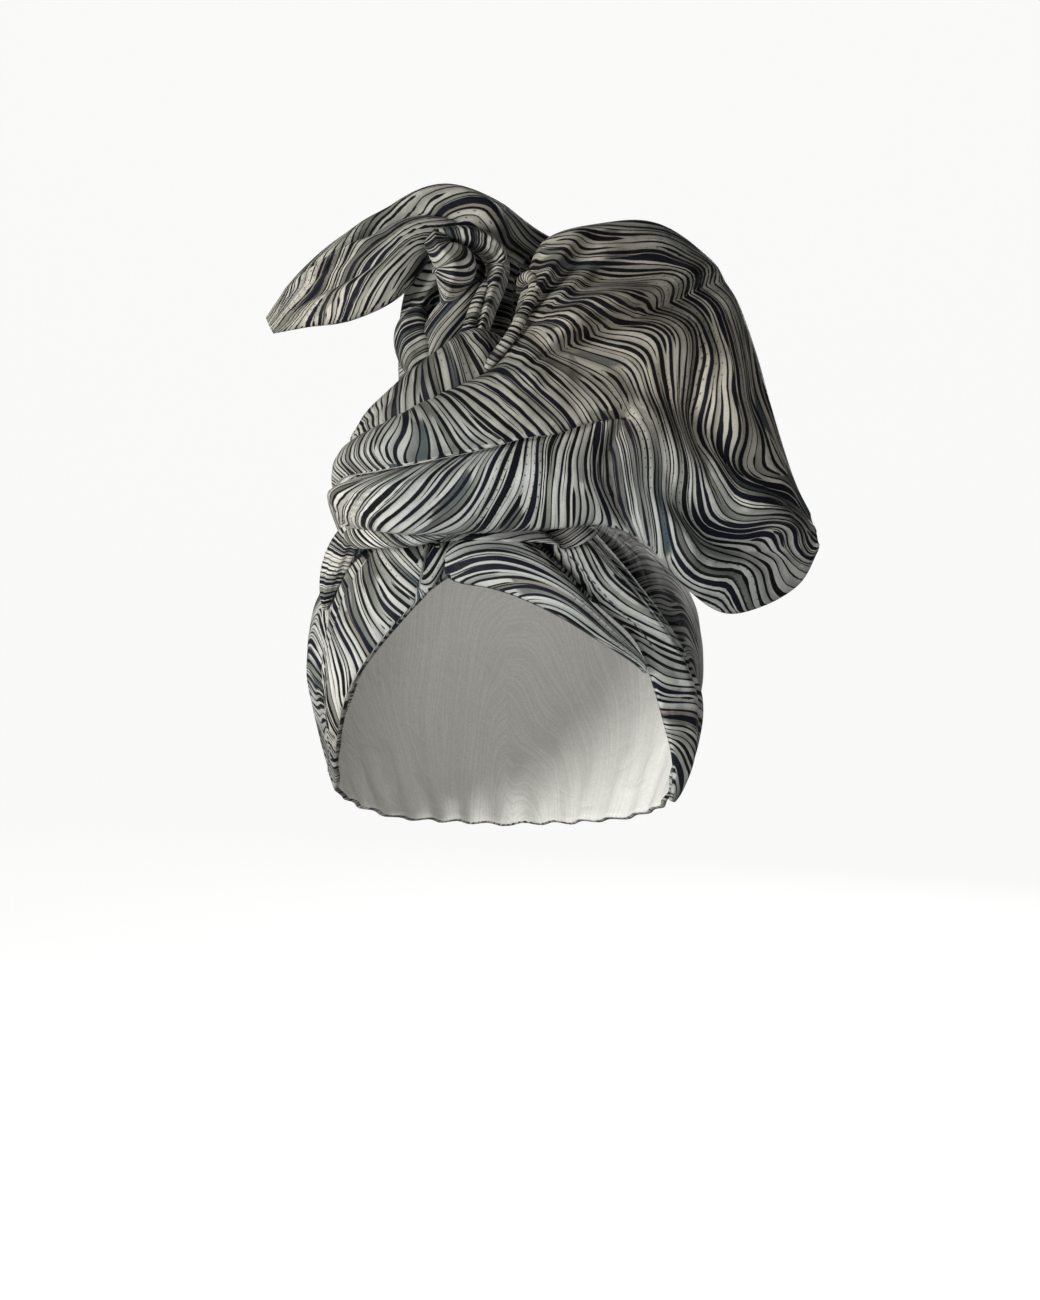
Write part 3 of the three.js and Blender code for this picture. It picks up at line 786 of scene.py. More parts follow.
# Each fold is a height in mm times a bump or a crease, at a share across the band and some shares wide.
position, share = band_places(LEFT_BAND, mitre_at)
on_strip = (np.arange(BAND_COLUMNS) < MITRE_COLUMNS) * hump(position / (MITRE_END + 0.6))
under_the_fold = -1.6 * on_strip * cusp((share - mitre_at(position)) / 0.2)
long_folds = 1.6 * hump((share - 0.5 + 0.03 * position) / 0.2) - 1.8 * cusp((share - 0.74) / 0.16)
long_folds = long_folds * np.clip(1.15 - position / 7, 0, 1)
left_folds = under_the_fold + long_folds + 0.4 * ripples(position * 16, share * 45, 5)
mitre_cut = (MITRE_COLUMNS - 1, int(BAND_ROWS * MITRE_END / (len(LEFT_BAND) - 1)))
left_face, left_wall = band_wall(
    LEFT_BAND, position, share, left_folds, LEFT_BAND_FLOW, on_strip, mitre_cut,
)
make_piece(
    "left_band_cloth", "left_band", [left_wall],
)

# FRONT ROLL. The rolled fold over the brow: the edge of the other sash end turned under into a soft roll
# that starts in a rounded end beside the mitre and runs out flat at the temple.
FRONT_ROLL = np.array([
    # front azimuth, front z, back azimuth, back z, puff
    [-17, -37, -17, -22, 4], [-13, -39.5, -13, -17, 8], [-3, -42, -4, -17, 9], [6, -46.5, 6, -21, 8.5],
    [16, -53.5, 15, -33, 7], [27, -63, 25, -49, 5], [37, -71, 35, -62, 3], [41, -75, 39, -69, 1.5],
], float)
FRONT_ROLL_FLOW = [
    # x, z, side, direction, spacing
    [-19, -27, 0, 55, 5.5], [-18, -32, 0, 40, 5.5], [-13, -24, 0, 22, 5.5], [-3, -23, 0, 2, 5.5],
    [6, -26, 0, -15, 5.5], [-8, -32, 0, 10, 5.5], [2, -31, 0, -8, 5.5], [12, -35, 0, -15, 5.5],
    [-14, -37, 0, 28, 5.5], [-6, -38, 0, 4, 5.5], [6, -42, 0, -12, 5.5], [21, -47, 0, -25, 5.2],
    [31, -54, 0, -28, 5.2], [16, -52, 0, -22, 5.2], [36, -62, 0, -30, 5],
]
position, share = band_places(FRONT_ROLL)
roll_crease = -1.2 * cusp((share - 0.66 - 0.02 * position) / 0.12)
roll_folds = 0.3 * ripples(position * 14, share * 28, 8) + roll_crease
roll_face, roll_wall = band_wall(FRONT_ROLL, position, share, roll_folds, FRONT_ROLL_FLOW)
make_piece(
    "front_roll_cloth", "front_roll", [roll_wall],
)

# SIDE BAND. The other sash end where it leaves the cap: it comes up the temple and is gathered by a line
# of running stitches under the knot, which puckers its upper edge.
SIDE_BAND = np.array([
    # front azimuth, front z, back azimuth, back z, puff
    [10, -18, 33, -16, 4], [18, -33, 40, -36, 6.5], [27, -48, 48, -54, 8], [38, -62, 60, -74, 7],
    [45, -80, 74, -90, 5.5], [54, -98, 80, -106, 4.5], [68, -116, 84, -120, 3], [80, -129, 87, -130, 1],
], float)
SIDE_BAND_FLOW = [
    # x, z, side, direction, spacing
    [50, -28, 0, -42, 3.6], [58, -38, 0, -46, 3.6], [64, -47, 0, -50, 3.6],
    [25, -26, 0, -72, 4.0], [33, -29, 0, -66, 4.0], [39, -32, 0, -60, 4.0], [35, -38, 0, -40, 4.2],
    [45, -38, 0, -34, 4.2], [40, -44, 0, 4, 4.2], [49, -53, 0, -8, 4.2], [59, -52, 0, -16, 4.2],
    [62, -60, 0, -24, 4.0], [55, -62, 0, -20, 4.0], [67, -70, 0, -14, 4.0], [67, -78, 0, 2, 3.8],
    [61, -79, 0, -30, 3.8], [73, -88, 0, 8, 3.6], [71, -97, 0, -24, 3.4], [74, -104, 0, -30, 3.0],
    [72, -120, 0, -32, 2.6],
]
position, share = band_places(SIDE_BAND)
puckers = 1.5 * np.abs(np.sin(position * 13)) * hump(share / 0.3) * hump(position / 3.6)
long_folds = 1.8 * hump((share - 0.4) / 0.16) - 1.8 * cusp((share - 0.64) / 0.16)
long_folds = long_folds * hump((position - 3) / 4.5)
side_folds = puckers + long_folds + 0.4 * ripples(position * 17, share * 36, 12)
side_face, side_wall = band_wall(SIDE_BAND, position, share, side_folds, SIDE_BAND_FLOW)
gather_start, gather_end = int(0.03 * BAND_ROWS), int(0.46 * BAND_ROWS)
gather_line = side_face[gather_start:gather_end, int(0.1 * BAND_COLUMNS)]
gather_stitches = sew("gather_stitches", gather_line, pitch=3.4, length=2.4, seed=9)
make_piece(
    "side_band_cloth", "side_band", [side_wall],
)

# RIGHT WING. The sash end that crosses the front of the knot in two rolls with a pleat between them, and
# opens into a wide fan. It is a doubled length of cloth, pressed flat and folded on itself by hand, with
# the hem rolled into a cord at the knot.
BACK_PUFF = 0.55
LEAST_PUFF = 0.4
WING = np.array([
    # edge a x, y, z, edge b x, y, z, depth, pleat at, pleat depth
    [-66, -19, -17, -65.5, -22, -23, 3, 0.45, 0], [-55, -62, 8, -57, -60, -19, 30, 0.45, 3],
    [-50, -86, 20, -52, -84, -18.5, 37, 0.46, 9], [-40, -99, 27, -40, -97, -20.5, 40, 0.47, 11],
    [-25, -104, 35, -25, -103, -21, 38, 0.48, 11], [-3, -103, 46, -1, -104, -20, 36, 0.49, 10],
    [7, -96, 75, 22, -102, -18.5, 32, 0.62, 8], [16, -89, 96, 38, -98, -17, 30, 0.66, 5],
    [38, -82, 104, 55, -92, -23, 30, 0.64, 0], [62, -75, 105, 72, -84, -41, 29, 0.6, 0],
    [85, -67, 89, 88, -75, -51, 26, 0.6, 0], [98, -60, 64, 105, -66, -48, 21, 0.6, 0],
    [110, -54, 21, 120, -58, -39, 15, 0.6, 0], [123, -51, -8, 128, -53, -26, 7, 0.6, 0],
], float)
WING_FOLDS = np.array([
    # layer, from, to, start, end, width, height
    [1, 5.2, 9.5, 0.1, 0.22, 0.09, -5], [1, 5.4, 10.5, 0.3, 0.36, 0.13, 5],
    [1, 6.2, 11.5, 0.5, 0.55, 0.1, -4], [1, 7.0, 12.0, 0.84, 0.78, 0.1, -5],
    [1, 7.6, 12.4, 0.68, 0.66, 0.1, 4], [-1, 3.0, 10.0, 0.35, 0.3, 0.14, 5],
    [-1, 4.0, 11.0, 0.62, 0.6, 0.12, -4],
], float)
WING_FLOW = [
    # x, z, side, direction, spacing
    [-52, 13, 1, -88, 3.8], [-40, 14, 1, -84, 3.8], [-23, 18, 1, -64, 3.8], [-15, 26, 1, -44, 3.8],
    [-7, 30, 1, -26, 3.6], [-1, 25, 1, -46, 3.8], [12, 24, 1, -60, 3.6], [30, 29, 1, -64, 3.6],
    [40, 25, 1, -58, 3.6], [14, 35, 1, -34, 3.6], [28, 37, 1, -46, 3.6],
    [-60, -5, -1, -120, 4.4], [-51, -5, -1, -132, 4.5], [-36, -9, -1, -137, 4.5], [-24, 1, -1, -128, 4.5],
    [-20, -11, -1, -136, 4.5], [-9, -8, -1, -132, 4.5], [-7, 5, -1, -120, 4.5], [3, 9, -1, -108, 4.4],
    [3, -11, -1, -124, 4.4], [13, -8, -1, -104, 4.4], [19, 6, -1, -94, 4.4], [19, -9, -1, -72, 4.4],
    [25, 14, -1, -104, 4.2], [25, 1, -1, -84, 4.2], [27, -11, -1, -54, 4.2], [33, 14, -1, -114, 4.6],
    [33, -6, -1, -56, 4.2], [43, 15, -1, -106, 4.6], [38, 5, -1, -100, 4.2], [40, -6, -1, -46, 4.2],
    [50, 32, 0, -64, 2.8], [52, 24, 0, -92, 2.8], [47, 27, 0, -76, 2.8],
    [28, 92, 0, 12, 3.6], [42, 98, 0, -34, 3.6], [62, 101, 0, -27, 3.6], [19, 84, 0, 2, 3.6],
    [42, 88, 0, -24, 3.6], [58, 86, 0, 2, 3.6], [72, 83, 0, -38, 3.6], [17, 75, 0, -4, 3.6],
    [34, 80, 0, 6, 3.6], [31, 68, 0, 35, 3.6], [48, 75, 0, 22, 3.6], [66, 73, 0, -50, 3.6],
    [38, 64, 0, 4, 3.6], [50, 59, 0, -40, 3.6], [26, 56, 0, 14, 3.6], [42, 53, 0, -20, 3.6],
    [80, 56, 0, -76, 3.8], [82, 45, 0, -104, 4], [79, 30, 0, -92, 4], [83, 13, 0, -58, 2.8],
    [88, 64, 0, -66, 3.8], [88, 46, 0, -95, 4], [86, 29, 0, -82, 4], [92, 15, 0, -50, 2.8],
    [105, 4, 0, -22, 2.8], [93, 74, 0, -56, 3.8], [98, 50, 0, -83, 3.8], [101, 26, 0, -58, 3.8],
    [67, 48, 0, -64, 3.8], [69, 24, 0, -97, 4], [70, 1, 0, -76, 2.8], [76, -9, 0, -58, 2.8],
    [59, 38, 0, -58, 3.8], [62, 22, 0, -94, 3.8], [62, 4, 0, -95, 2.8], [50, 20, 0, -104, 3.8],
    [45, 8, 0, -106, 3.8], [53, -2, 0, -72, 2.6], [85, -7, 0, -32, 2.8], [100, -8, 0, -8, 2.8],
    [115, -6, 0, -20, 2.6], [85, -19, 0, -12, 2.8], [102, -19, 0, 2, 2.8], [117, -24, 0, -62, 2.5],
    [75, -21, 0, -52, 2.8], [88, -26, 0, -30, 2.6], [103, -28, 0, -60, 2.5], [111, -33, 0, -86, 2.5],
    [69, -30, 0, -34, 2.6], [82, -36, 0, -26, 2.6], [96, -40, 0, -84, 2.5], [58, -21, 0, -60, 2.6],
]
WING_ROWS = 190
WING_COLUMNS = (60, 72, 64)
PLEAT_END = 7.7
PLEAT_SIDE_END = 8.4
PLEAT_SIDE_FADE = 1.4
FULL_PLEAT = 11.0
LIP_GAP = 0.002
UPPER_LAP = 0.012
LOWER_LAP = 0.03
SPREAD_X = -6.0
SPREAD_Z = 50.0
SPREAD_COUNT = 25
SPREAD_HEIGHT = 3.4
ROLL_CLOTH = 0.9
ROLL_STEPS = (60, 40)
COVER_FOOT = -150
COVER_LEVELS = 161
WING_CREASES = [
    # each a path: x, z, width to its left, width to its right, height
    [
        [4, 42, 5, 8, 0], [14, 47, 6, 12, -6], [37, 59, 7, 16, -11], [68, 74, 8, 16, -10],
        [84, 82, 7, 12, -6], [98, 84, 5, 8, 0],
    ],
    [[12, 58, 8, 7, 0], [30, 66, 9, 7, 6], [58, 77, 10, 8, 7.5], [78, 87, 9, 8, 4], [90, 90, 6, 6, 0]],
    [[74, 64, 8, 8, 0], [71, 50, 9, 9, -4], [72, 30, 9, 9, -4.5], [73, 9, 8, 8, -3], [76, -4, 6, 6, 0]],
    [[84, 66, 9, 9, 0], [86, 50, 10, 9, 3.5], [85, 32, 10, 9, 3.5], [88, 12, 9, 9, 2], [95, 0, 6, 6, 0]],
    [
        [47, 32, 6, 6, 0], [44, 22, 6, 7, -4], [37, 4, 6, 8, -6], [47, -15, 6, 8, -6], [57, -30, 5, 6, -3],
        [60, -38, 4, 4, 0],
    ],
    [[54, 30, 7, 7, 0], [50, 10, 8, 7, 3], [58, -8, 8, 8, 4], [68, -24, 7, 8, 4], [74, -36, 5, 5, 0]],
    [[74, -20, 6, 6, 0], [88, -25, 6, 7, -4], [102, -26, 6, 6, -3], [112, -26, 4, 4, 0]],
    [[84, -6, 8, 8, 0], [98, -10, 9, 8, 3], [112, -14, 6, 6, 0]],
]
HEM_CORD = [
    # x, y, z, half width, half depth
    [-7, -106, 43, 1.2, 1.2], [-4, -108, 47, 2.0, 2.0], [2.4, -109, 55, 2.3, 2.3], [8, -106, 65, 2.4, 2.4],
    [11.5, -102, 73, 2.3, 2.3], [12, -99, 78, 2.4, 2.4], [10, -94, 81, 2.4, 2.4], [7, -88, 80, 2.0, 2.0],
    [6, -83, 76, 1.2, 1.2],
]
UNDER_FOLD = [
    # x, y, z, half width, half depth
    [-64, -64, -16, 3, 2.5], [-58, -76, -19.5, 5.5, 3], [-49, -86, -21, 4.5, 3],
    [-40, -92, -22.5, 3.2, 2.6], [-31, -96, -22.5, 1.8, 2], [-22, -98, -20.5, 0.7, 0.8],
]
FOOT_GATHER = [
    # x, y, z, half width, half depth
    [-55, -76, -16, 2.5, 2], [-60, -71, -18.5, 4.6, 3], [-64.5, -62, -23, 5.2, 3.5],
    [-69, -53, -31, 5, 3.5], [-72.5, -46, -40, 3.5, 3], [-74.5, -41, -49, 1, 1],
]


def eased(share):
    """Shares set closer together towards 0 and 1, the two fold edges."""
    return 0.7 * share + 0.15 * (1 - np.cos(share * np.pi))


def edge_eased(share):
    """Shares set closer together towards 0, one fold edge."""
    return 0.6 * share + 0.4 * share**2


def wing_columns(position):
    """Shares across the wing for each of its rows, parted at the pleat, whose lips lap where it is deep."""
    upper, lower, back = WING_COLUMNS
    row = row_at(WING, position)
    at, deep = row[:, 7:8], np.clip(row[:, 8:9], 0, None) / FULL_PLEAT
    above = (at - LIP_GAP + UPPER_LAP * deep) * edge_eased(np.linspace(0, 1, upper))
    below = 1 - (1 - at - LIP_GAP + LOWER_LAP * deep) * edge_eased(np.linspace(1, 0, lower + 1)[:-1])
    behind = eased(np.linspace(1, 0, back + 1)[:-1]) + 0 * at
    return np.concatenate([above, below, behind], 1)


def sash_grid(rows, folds, position, across, layer, inset, relief):
    """A sash end's face: flattened loops from its open foot to its tip, drawn in by an inset."""
    row = row_at(rows, position)
    a, b, depth = row[:, 0:3], row[:, 3:6], row[:, 6:7]

    def middle(p):
        r = row_at(rows, np.clip(p, 0, len(rows) - 1))
        return (r[:, 0:3] + r[:, 3:6]) / 2

    ahead = middle(position + 0.2) - middle(position - 0.2)
    to_a = (a - b) / 2
    outwards = unit(np.cross(ahead, to_a))
    level = 1 - 2 * across
    rounding = np.sqrt(np.clip(1 - level**2, 0, None))
    puff = np.maximum(depth / 2 * np.where(layer > 0, 1, BACK_PUFF) - inset, LEAST_PUFF)
    tall = 1 - inset / np.linalg.norm(to_a, axis=1)
    base = ((a + b) / 2)[:, None, :] + to_a[:, None, :] * (level * tall[:, None])[..., None]
    lift = relief(base, position[:, None], across)
    for fold_layer, start, end, at_start, at_end, width, height in folds:
        way = (position[:, None] - start) / (end - start)
        centre = at_start + (at_end - at_start) * way
        fade = np.sqrt(hump(2 * way - 1))
        lift = lift + (layer == fold_layer) * fold_layer * height * fade * hump((across - centre) / width)
    out = layer * puff * rounding + lift * np.minimum(rounding * 2, 1)
    # A valley in the front goes no deeper than halfway to the back.
    deepest = -(0.5 * BACK_PUFF * depth / 2 + inset) * rounding
    out = np.where(layer > 0, np.maximum(out, deepest), out)
    return base + out[..., None] * outwards[:, None, :]


def cap_size(points, lift):
    """How far out points are, where 1 is the face of the cap with a lift."""
    rise = points[..., 2] - CAP_WIDEST_Z
    reach = np.where(points[..., 1] < 0, CAP_FRONT_REACH, CAP_BACK_REACH) + lift
    level = np.hypot(points[..., 0] / (CAP_HALF_WIDTH + lift), points[..., 1] / reach)
    high = np.clip(rise, 0, None) / (CAP_RISE + lift)
    return (level**CAP_DOME_POWER + high**CAP_DOME_POWER) ** (1 / CAP_DOME_POWER)


def off_the_cap(points, lift):
    """Points inside the cap moved straight out to lie on it, at a lift that may differ over it."""
    push = np.maximum(1 / np.maximum(cap_size(points, lift), 0.2), 1)[..., None]
    centre = np.array([0, 0, CAP_WIDEST_Z])
    return centre + (points - centre) * push


def cover_cell(points):
    """The row and column of each point in a table of the cap by azimuth and height, 1 degree by 1 mm."""
    turn = np.degrees(np.arctan2(points[..., 0] / CAP_HALF_WIDTH, -points[..., 1] / CAP_FRONT_REACH))
    level = np.clip(np.rint(points[..., 2] - COVER_FOOT), 0, COVER_LEVELS - 1)
    return np.rint(turn + 180).astype(int), level.astype(int)


def cover_of(*faces):
    """How far the bands stand off the cap, as such a table."""
    cover = np.zeros((361, COVER_LEVELS))
    for face in faces:
        points = face.reshape(-1, 3)
        stand = np.zeros(len(points))
        # The cap's size with a lift depends on the lift, and six rounds settle the two.
        for _ in range(6):
            stand += (cap_size(points, stand) - 1) * CAP_RISE
        np.maximum.at(cover, cover_cell(points), stand)
    for axis in (0, 1, 0, 1):
        cover = np.maximum(cover, np.maximum(np.roll(cover, 1, axis), np.roll(cover, -1, axis)))
    return cover


COVER = cover_of(left_face, roll_face, side_face)


def over_the_bands(points, gap):
    """Points moved out as far as it takes to clear the cap and the bands on it by a gap."""
    return off_the_cap(points, gap + COVER[cover_cell(points)])


def sash_skins(rows, folds, row_count, columns_at, layer, relief):
    """A sash end's face and its lining, which ends short of the tip, both clear of the bands."""
    skins = []
    for last, inset, gap in ((len(rows) - 1, 0, GAP + CLOTH), (len(rows) - 1.5, CLOTH, GAP)):
        position = np.linspace(0, last, row_count)
        skin = sash_grid(rows, folds, position, columns_at(position), layer, inset, relief)
        skins.append(over_the_bands(skin, gap))
    return skins


def sash_pattern(face, rows, position, guides, side, cut=None, evenness=EVENNESS):
    """The print on a sash end, which runs round its fold edges without a break."""
    closed = np.concatenate([face, face[:, :1]], 1)
    row = row_at(rows, position)
    down = unit(np.gradient((row[:, 0:3] + row[:, 3:6]) / 2, axis=0))[:, None, :] + 0 * closed
    over = unit(row[:, 3:6] - row[:, 0:3])[:, None, :] + 0 * closed
    return lay_print(closed, *flow_from(guides, closed, down, over, side), cut, evenness)


def creased(x, z, path):
    """The lift of a crease along a path seen from the front: a rounded ridge or a sharp valley."""
    steps = row_at(path, np.linspace(0, len(path) - 1, 20 * len(path)))
    away = (x[..., None] - steps[:, 0]) ** 2 + (z[..., None] - steps[:, 1]) ** 2
    nearest = away.argmin(-1)
    ahead = unit(np.gradient(steps[:, :2], axis=0))[nearest]
    step = steps[nearest]
    to_left = (z - step[..., 1]) * ahead[..., 0] - (x - step[..., 0]) * ahead[..., 1]
    reach = np.sqrt(away.min(-1)) / np.maximum(np.where(to_left > 0, step[..., 2], step[..., 3]), 1)
    return np.clip(step[..., 4], 0, None) * hump(reach) + np.clip(step[..., 4], None, 0) * cusp(reach)


def roll(rows, turn, spacing, bow=0.0, crimp=0.0, pinch=0.0, steps=ROLL_STEPS):
    """A small roll of cloth along a path, its print turned from the path and bowed by some mm.

    Its crimp is how far lengthwise folds stand out, as a share of its size. A pinch draws its front to an
    edge.
    """
    row = row_at(rows, np.linspace(0, len(rows) - 1, steps[0]))
    ahead = unit(np.gradient(row[:, :3], axis=0))
    side = unit(np.cross(ahead, [0.0, -1.0, 0.0]))
    front = unit(np.cross(side, ahead))
    angle = np.linspace(0, 2 * np.pi, steps[1] + 1)
    drift = np.linspace(0, 2.4, steps[0])[:, None] + row[:1, :1]
    fold = 1 + crimp * (np.cos(5 * angle + drift) + 0.6 * np.cos(8 * angle - 1.7 * drift))

    def skin(inset):
        wide, deep = (np.maximum(row[:, k:k + 1] - inset, 0.4 * row[:, k:k + 1]) for k in (3, 4))
        edge = np.sign(np.cos(angle)) * (1 - np.abs(np.sin(angle)))
        deep = deep * fold * ((1 - pinch) * np.cos(angle) + pinch * edge)
        out = side[:, None] * (wide * fold * np.sin(angle))[..., None] - front[:, None] * deep[..., None]
        return row[:, None, :3] + out

    outer = skin(0)
    along = np.cumsum(np.linalg.norm(np.diff(row[:, :3], axis=0, prepend=row[:1, :3]), axis=1))[:, None]
    girth = np.cumsum(np.linalg.norm(np.diff(outer, axis=1, prepend=outer[:, :1]), axis=2), 1)
    round_it = girth - girth[:, -1:] / 2
    bent = along - bow * (1 - np.cos(angle)) / 2
    turned = np.radians(turn)
    count = (bent * np.sin(turned) + round_it * np.cos(turned)) / spacing
    run = bent * np.cos(turned) - round_it * np.sin(turned)
    pattern = np.stack([count + rows[0][0], run, 0 * run + spacing], -1)
    return wall(outer[:, :-1], skin(ROLL_CLOTH)[:, :-1], pattern, True)


def wing_relief(base, position, across):
    """The pleat between the two rolls, the folds that spread from the knot, and the cloth's small waves."""
    upper, lower, back = WING_COLUMNS
    row = row_at(WING, position[:, 0])
    at, deep = row[:, 7:8], np.clip(row[:, 8:9], 0, None)
    above = 0.6 * cusp((across - at) / 0.17)
    below = 1.15 * cusp((across - at) / 0.2)
    pleat = np.concatenate([above[:, :upper], below[:, upper:upper + lower], 0 * across[:, -back:]], 1)
    x, z = base[..., 0] - SPREAD_X, base[..., 2] - SPREAD_Z
    far, turn = np.hypot(x, z), np.degrees(np.arctan2(z, x))
    front = np.arange(across.shape[1]) < upper + lower
    # They lie from 2 to 82 mm off the knot, and from 16 to 92 degrees up from level.
    spread_folds = SPREAD_HEIGHT * np.cos(np.radians((turn - 27) * SPREAD_COUNT))
    spread_folds = spread_folds * hump((far - 42) / 40) * hump((turn - 54) / 38)
    creases = sum(creased(base[..., 0], base[..., 2], path) for path in WING_CREASES)
    return front * (spread_folds + creases) - deep * pleat + 0.6 * ripples(position * 22, across * 140, 21)


wing_layer = np.repeat([1, 1, -1], WING_COLUMNS)
wing_face, wing_lining = sash_skins(WING, WING_FOLDS, WING_ROWS, wing_columns, wing_layer, wing_relief)
wing_position = np.linspace(0, len(WING) - 1, WING_ROWS)
upper, lower, back = WING_COLUMNS
pleat_side = np.concatenate([np.ones(upper), -np.ones(lower), np.linspace(-1, 1, back), [1]])
pleat_side = pleat_side * np.clip((PLEAT_SIDE_END - wing_position[:, None]) / PLEAT_SIDE_FADE, 0, 1)
pleat_cut = (upper - 1, int(WING_ROWS * PLEAT_END / (len(WING) - 1)))
wing_print = sash_pattern(wing_face, WING, wing_position, WING_FLOW, pleat_side, pleat_cut)
make_piece(
    "right_wing_cloth", "right_wing",
    [
        wall(wing_face, wing_lining, wing_print, True),
        roll(HEM_CORD, turn=82, spacing=2.1),
        roll(UNDER_FOLD, turn=30, spacing=2.2),
        roll(FOOT_GATHER, turn=70, spacing=2.4, crimp=0.1),
    ],
)

# LEFT TAIL. The sash end that stands up behind the knot: bunched in deep upright folds at its foot, it
# flattens at the top, turns over and hangs to the side in a point, held only by the stiffness of the cloth.
TAIL = np.array([
    # edge a x, y, z, edge b x, y, z, depth
    [-36, -58, -26, 30, -62, -30, 36], [-41, -67, 20, 6, -62, 18, 37], [-42, -75, 52, 8, -50, 58, 38],
    [-40, -78, 74, 16, -42, 84, 38], [-33, -80, 89, 25, -42, 100, 34], [-28, -83, 95, 7, -54, 108, 31],
    [-29, -87, 93, -24, -64, 117.5, 29], [-41, -90, 74.5, -45, -70, 109.5, 27],
    [-60, -87, 65, -63, -72, 100.5, 22], [-79, -83, 62.5, -81, -73, 85.5, 14],
    [-92, -79, 60.5, -95, -77, 67, 6],
], float)
TAIL_FOLDS = np.array([
    # layer, from, to, start, end, width, height
    [1, 0.6, 3.0, 0.14, 0.1, 0.11, 6], [1, 1.6, 5.0, 0.13, 0.2, 0.13, -7],
    [1, 1.6, 5.3, 0.56, 0.5, 0.4, -15], [1, 1.0, 5.3, 0.88, 0.84, 0.2, -8],
    [-1, 0.6, 5.0, 0.25, 0.3, 0.12, 6], [-1, 0.6, 5.0, 0.55, 0.55, 0.1, -6],
], float)
TAIL_FLOW = [
    # x, z, side, direction, spacing
    [-90, 68, 0, 70, 3.6], [-83, 68, 0, 66, 3.5], [-76, 68, 0, 60, 3.4], [-69, 71, 0, 54, 3.2],
    [-63, 72, 0, 48, 3.0], [-55, 76, 0, 40, 2.8], [-46, 79, 0, 38, 2.6], [-84, 77, 0, 52, 3.5],
    [-72, 80, 0, 48, 3.3], [-63, 85, 0, 46, 3.0], [-54, 91, 0, 46, 2.7], [-48, 87, 0, 38, 2.5],
    [-43, 95, 0, 30, 2.5], [-38, 89, 0, 38, 2.5], [-79, 88, 0, 50, 3.3], [-66, 95, 0, 48, 2.8],
    [-54, 103, 0, 44, 2.4], [-59, 91, 0, 42, 2.4], [-43, 107, 0, 36, 2.5], [-34, 111, 0, 30, 2.5],
    [-24, 114, 0, 20, 2.5], [-17, 112, 0, 2, 2.5], [-27, 105, 0, 16, 2.6], [-38, 100, 0, 10, 2.6],
    [-20, 103, 0, 10, 2.6], [-12, 106, 0, -10, 2.5], [-8, 110, 0, -20, 2.5], [-2, 107, 0, -28, 2.4],
    [4, 102, 0, -38, 2.4], [9, 99, 0, -42, 2.4], [-19, 97, 0, 14, 2.6], [-11, 94, 0, -6, 2.6],
    [-3, 88, 0, -6, 2.7], [-35, 80, 0, -12, 2.3], [-32, 73, 0, -4, 2.3], [-18, 70, 0, 46, 2.3],
    [-25, 59, 0, 60, 2.3], [-4, 74, 0, 22, 2.4], [-36, 60, 0, 20, 2.3], [-31, 57, 0, -48, 2.3],
]
TAIL_ROWS = 170
TAIL_COLUMNS = (120, 64)
TAIL_EVENNESS = 1.6
TAIL_CREASES = [
    # each a path: x, z, width to its left, width to its right, height
    [
        [-62, 96, 5, 5, 0], [-50, 101, 5, 5, 3], [-29, 107, 5, 5, 2.5], [-19, 106, 5, 5, 2.5],
        [-5, 98, 5, 5, 3], [4, 88, 4, 4, 0],
    ],
    [[-52, 94, 5, 5, 0], [-38, 100, 5, 6, -4], [-22, 100, 5, 7, -5], [-12, 94, 5, 6, -4], [-6, 84, 4, 4, 0]],
    [[-82, 81, 3, 5, 0], [-69, 86, 3, 5, -5.5], [-58, 92, 3, 5, -6], [-44, 99, 3, 5, 0]],
    [[-88, 75, 4, 4, 0], [-72, 81, 5, 3, 4.5], [-60, 87, 5, 3, 5], [-44, 92, 4, 4, 0]],
    [
        [14, 99, 4, 4, 0], [9, 92, 6, 6, -12], [6, 84, 6, 7, -18], [5, 74, 6, 7, -18], [2, 64, 6, 6, -14],
        [-4, 54, 4, 4, 0],
    ],
    [[-84, 67, 4, 4, 0], [-70, 74, 4, 4, -3.5], [-56, 79, 4, 4, -3.5], [-42, 84, 4, 4, 0]],
]
CONE_DRAPE = [
    # x, y, z, half width, half depth
    [-27, -82, 99, 4, 3], [-26.5, -91, 96, 5, 4], [-24.5, -96, 91, 5.4, 5], [-19.5, -97, 85, 8.8, 6],
    [-20.5, -97, 77, 6, 5.5], [-24, -95, 69, 0.8, 1],
]
RIGHT_ROLL = [
    # x, y, z, half width, half depth
    [-32, -86, 97, 1.5, 2], [-24, -89, 98, 3.2, 3.5], [-14, -86, 98, 4.4, 7.5],
    [-6, -81, 94.5, 4.8, 11.5], [-2.5, -78, 88, 4.8, 14], [-3.2, -79, 81, 4.4, 15],
    [-5.5, -83, 73, 3.8, 14.5], [-8.5, -87, 63, 3.3, 12.5], [-11, -92, 55, 2.6, 7],
]
MIDDLE_ROLL = [
    # x, y, z, half width, half depth
    [-6, -82, 82, 1.2, 2], [-8, -91, 76, 2.2, 4], [-11, -94, 69, 2.4, 4.5], [-14, -96, 60, 2.4, 4],
    [-16, -96, 52, 2, 3],
]
MIDDLE_FAN = [
    # x, y, z, half width, half depth
    [-11, -86, 80, 2, 2], [-15, -91, 73, 5.5, 4], [-20, -94, 65, 7.5, 5], [-25, -96, 56, 7, 5],
    [-28, -96, 46, 4, 4],
]
LEFT_LOBE = [
    # x, y, z, half width, half depth
    [-33, -84, 69, 2, 3], [-35, -88, 64, 6, 6], [-35, -91, 57, 8.5, 8], [-33, -93, 49, 8, 8],
    [-31, -94, 40, 5, 5],
]


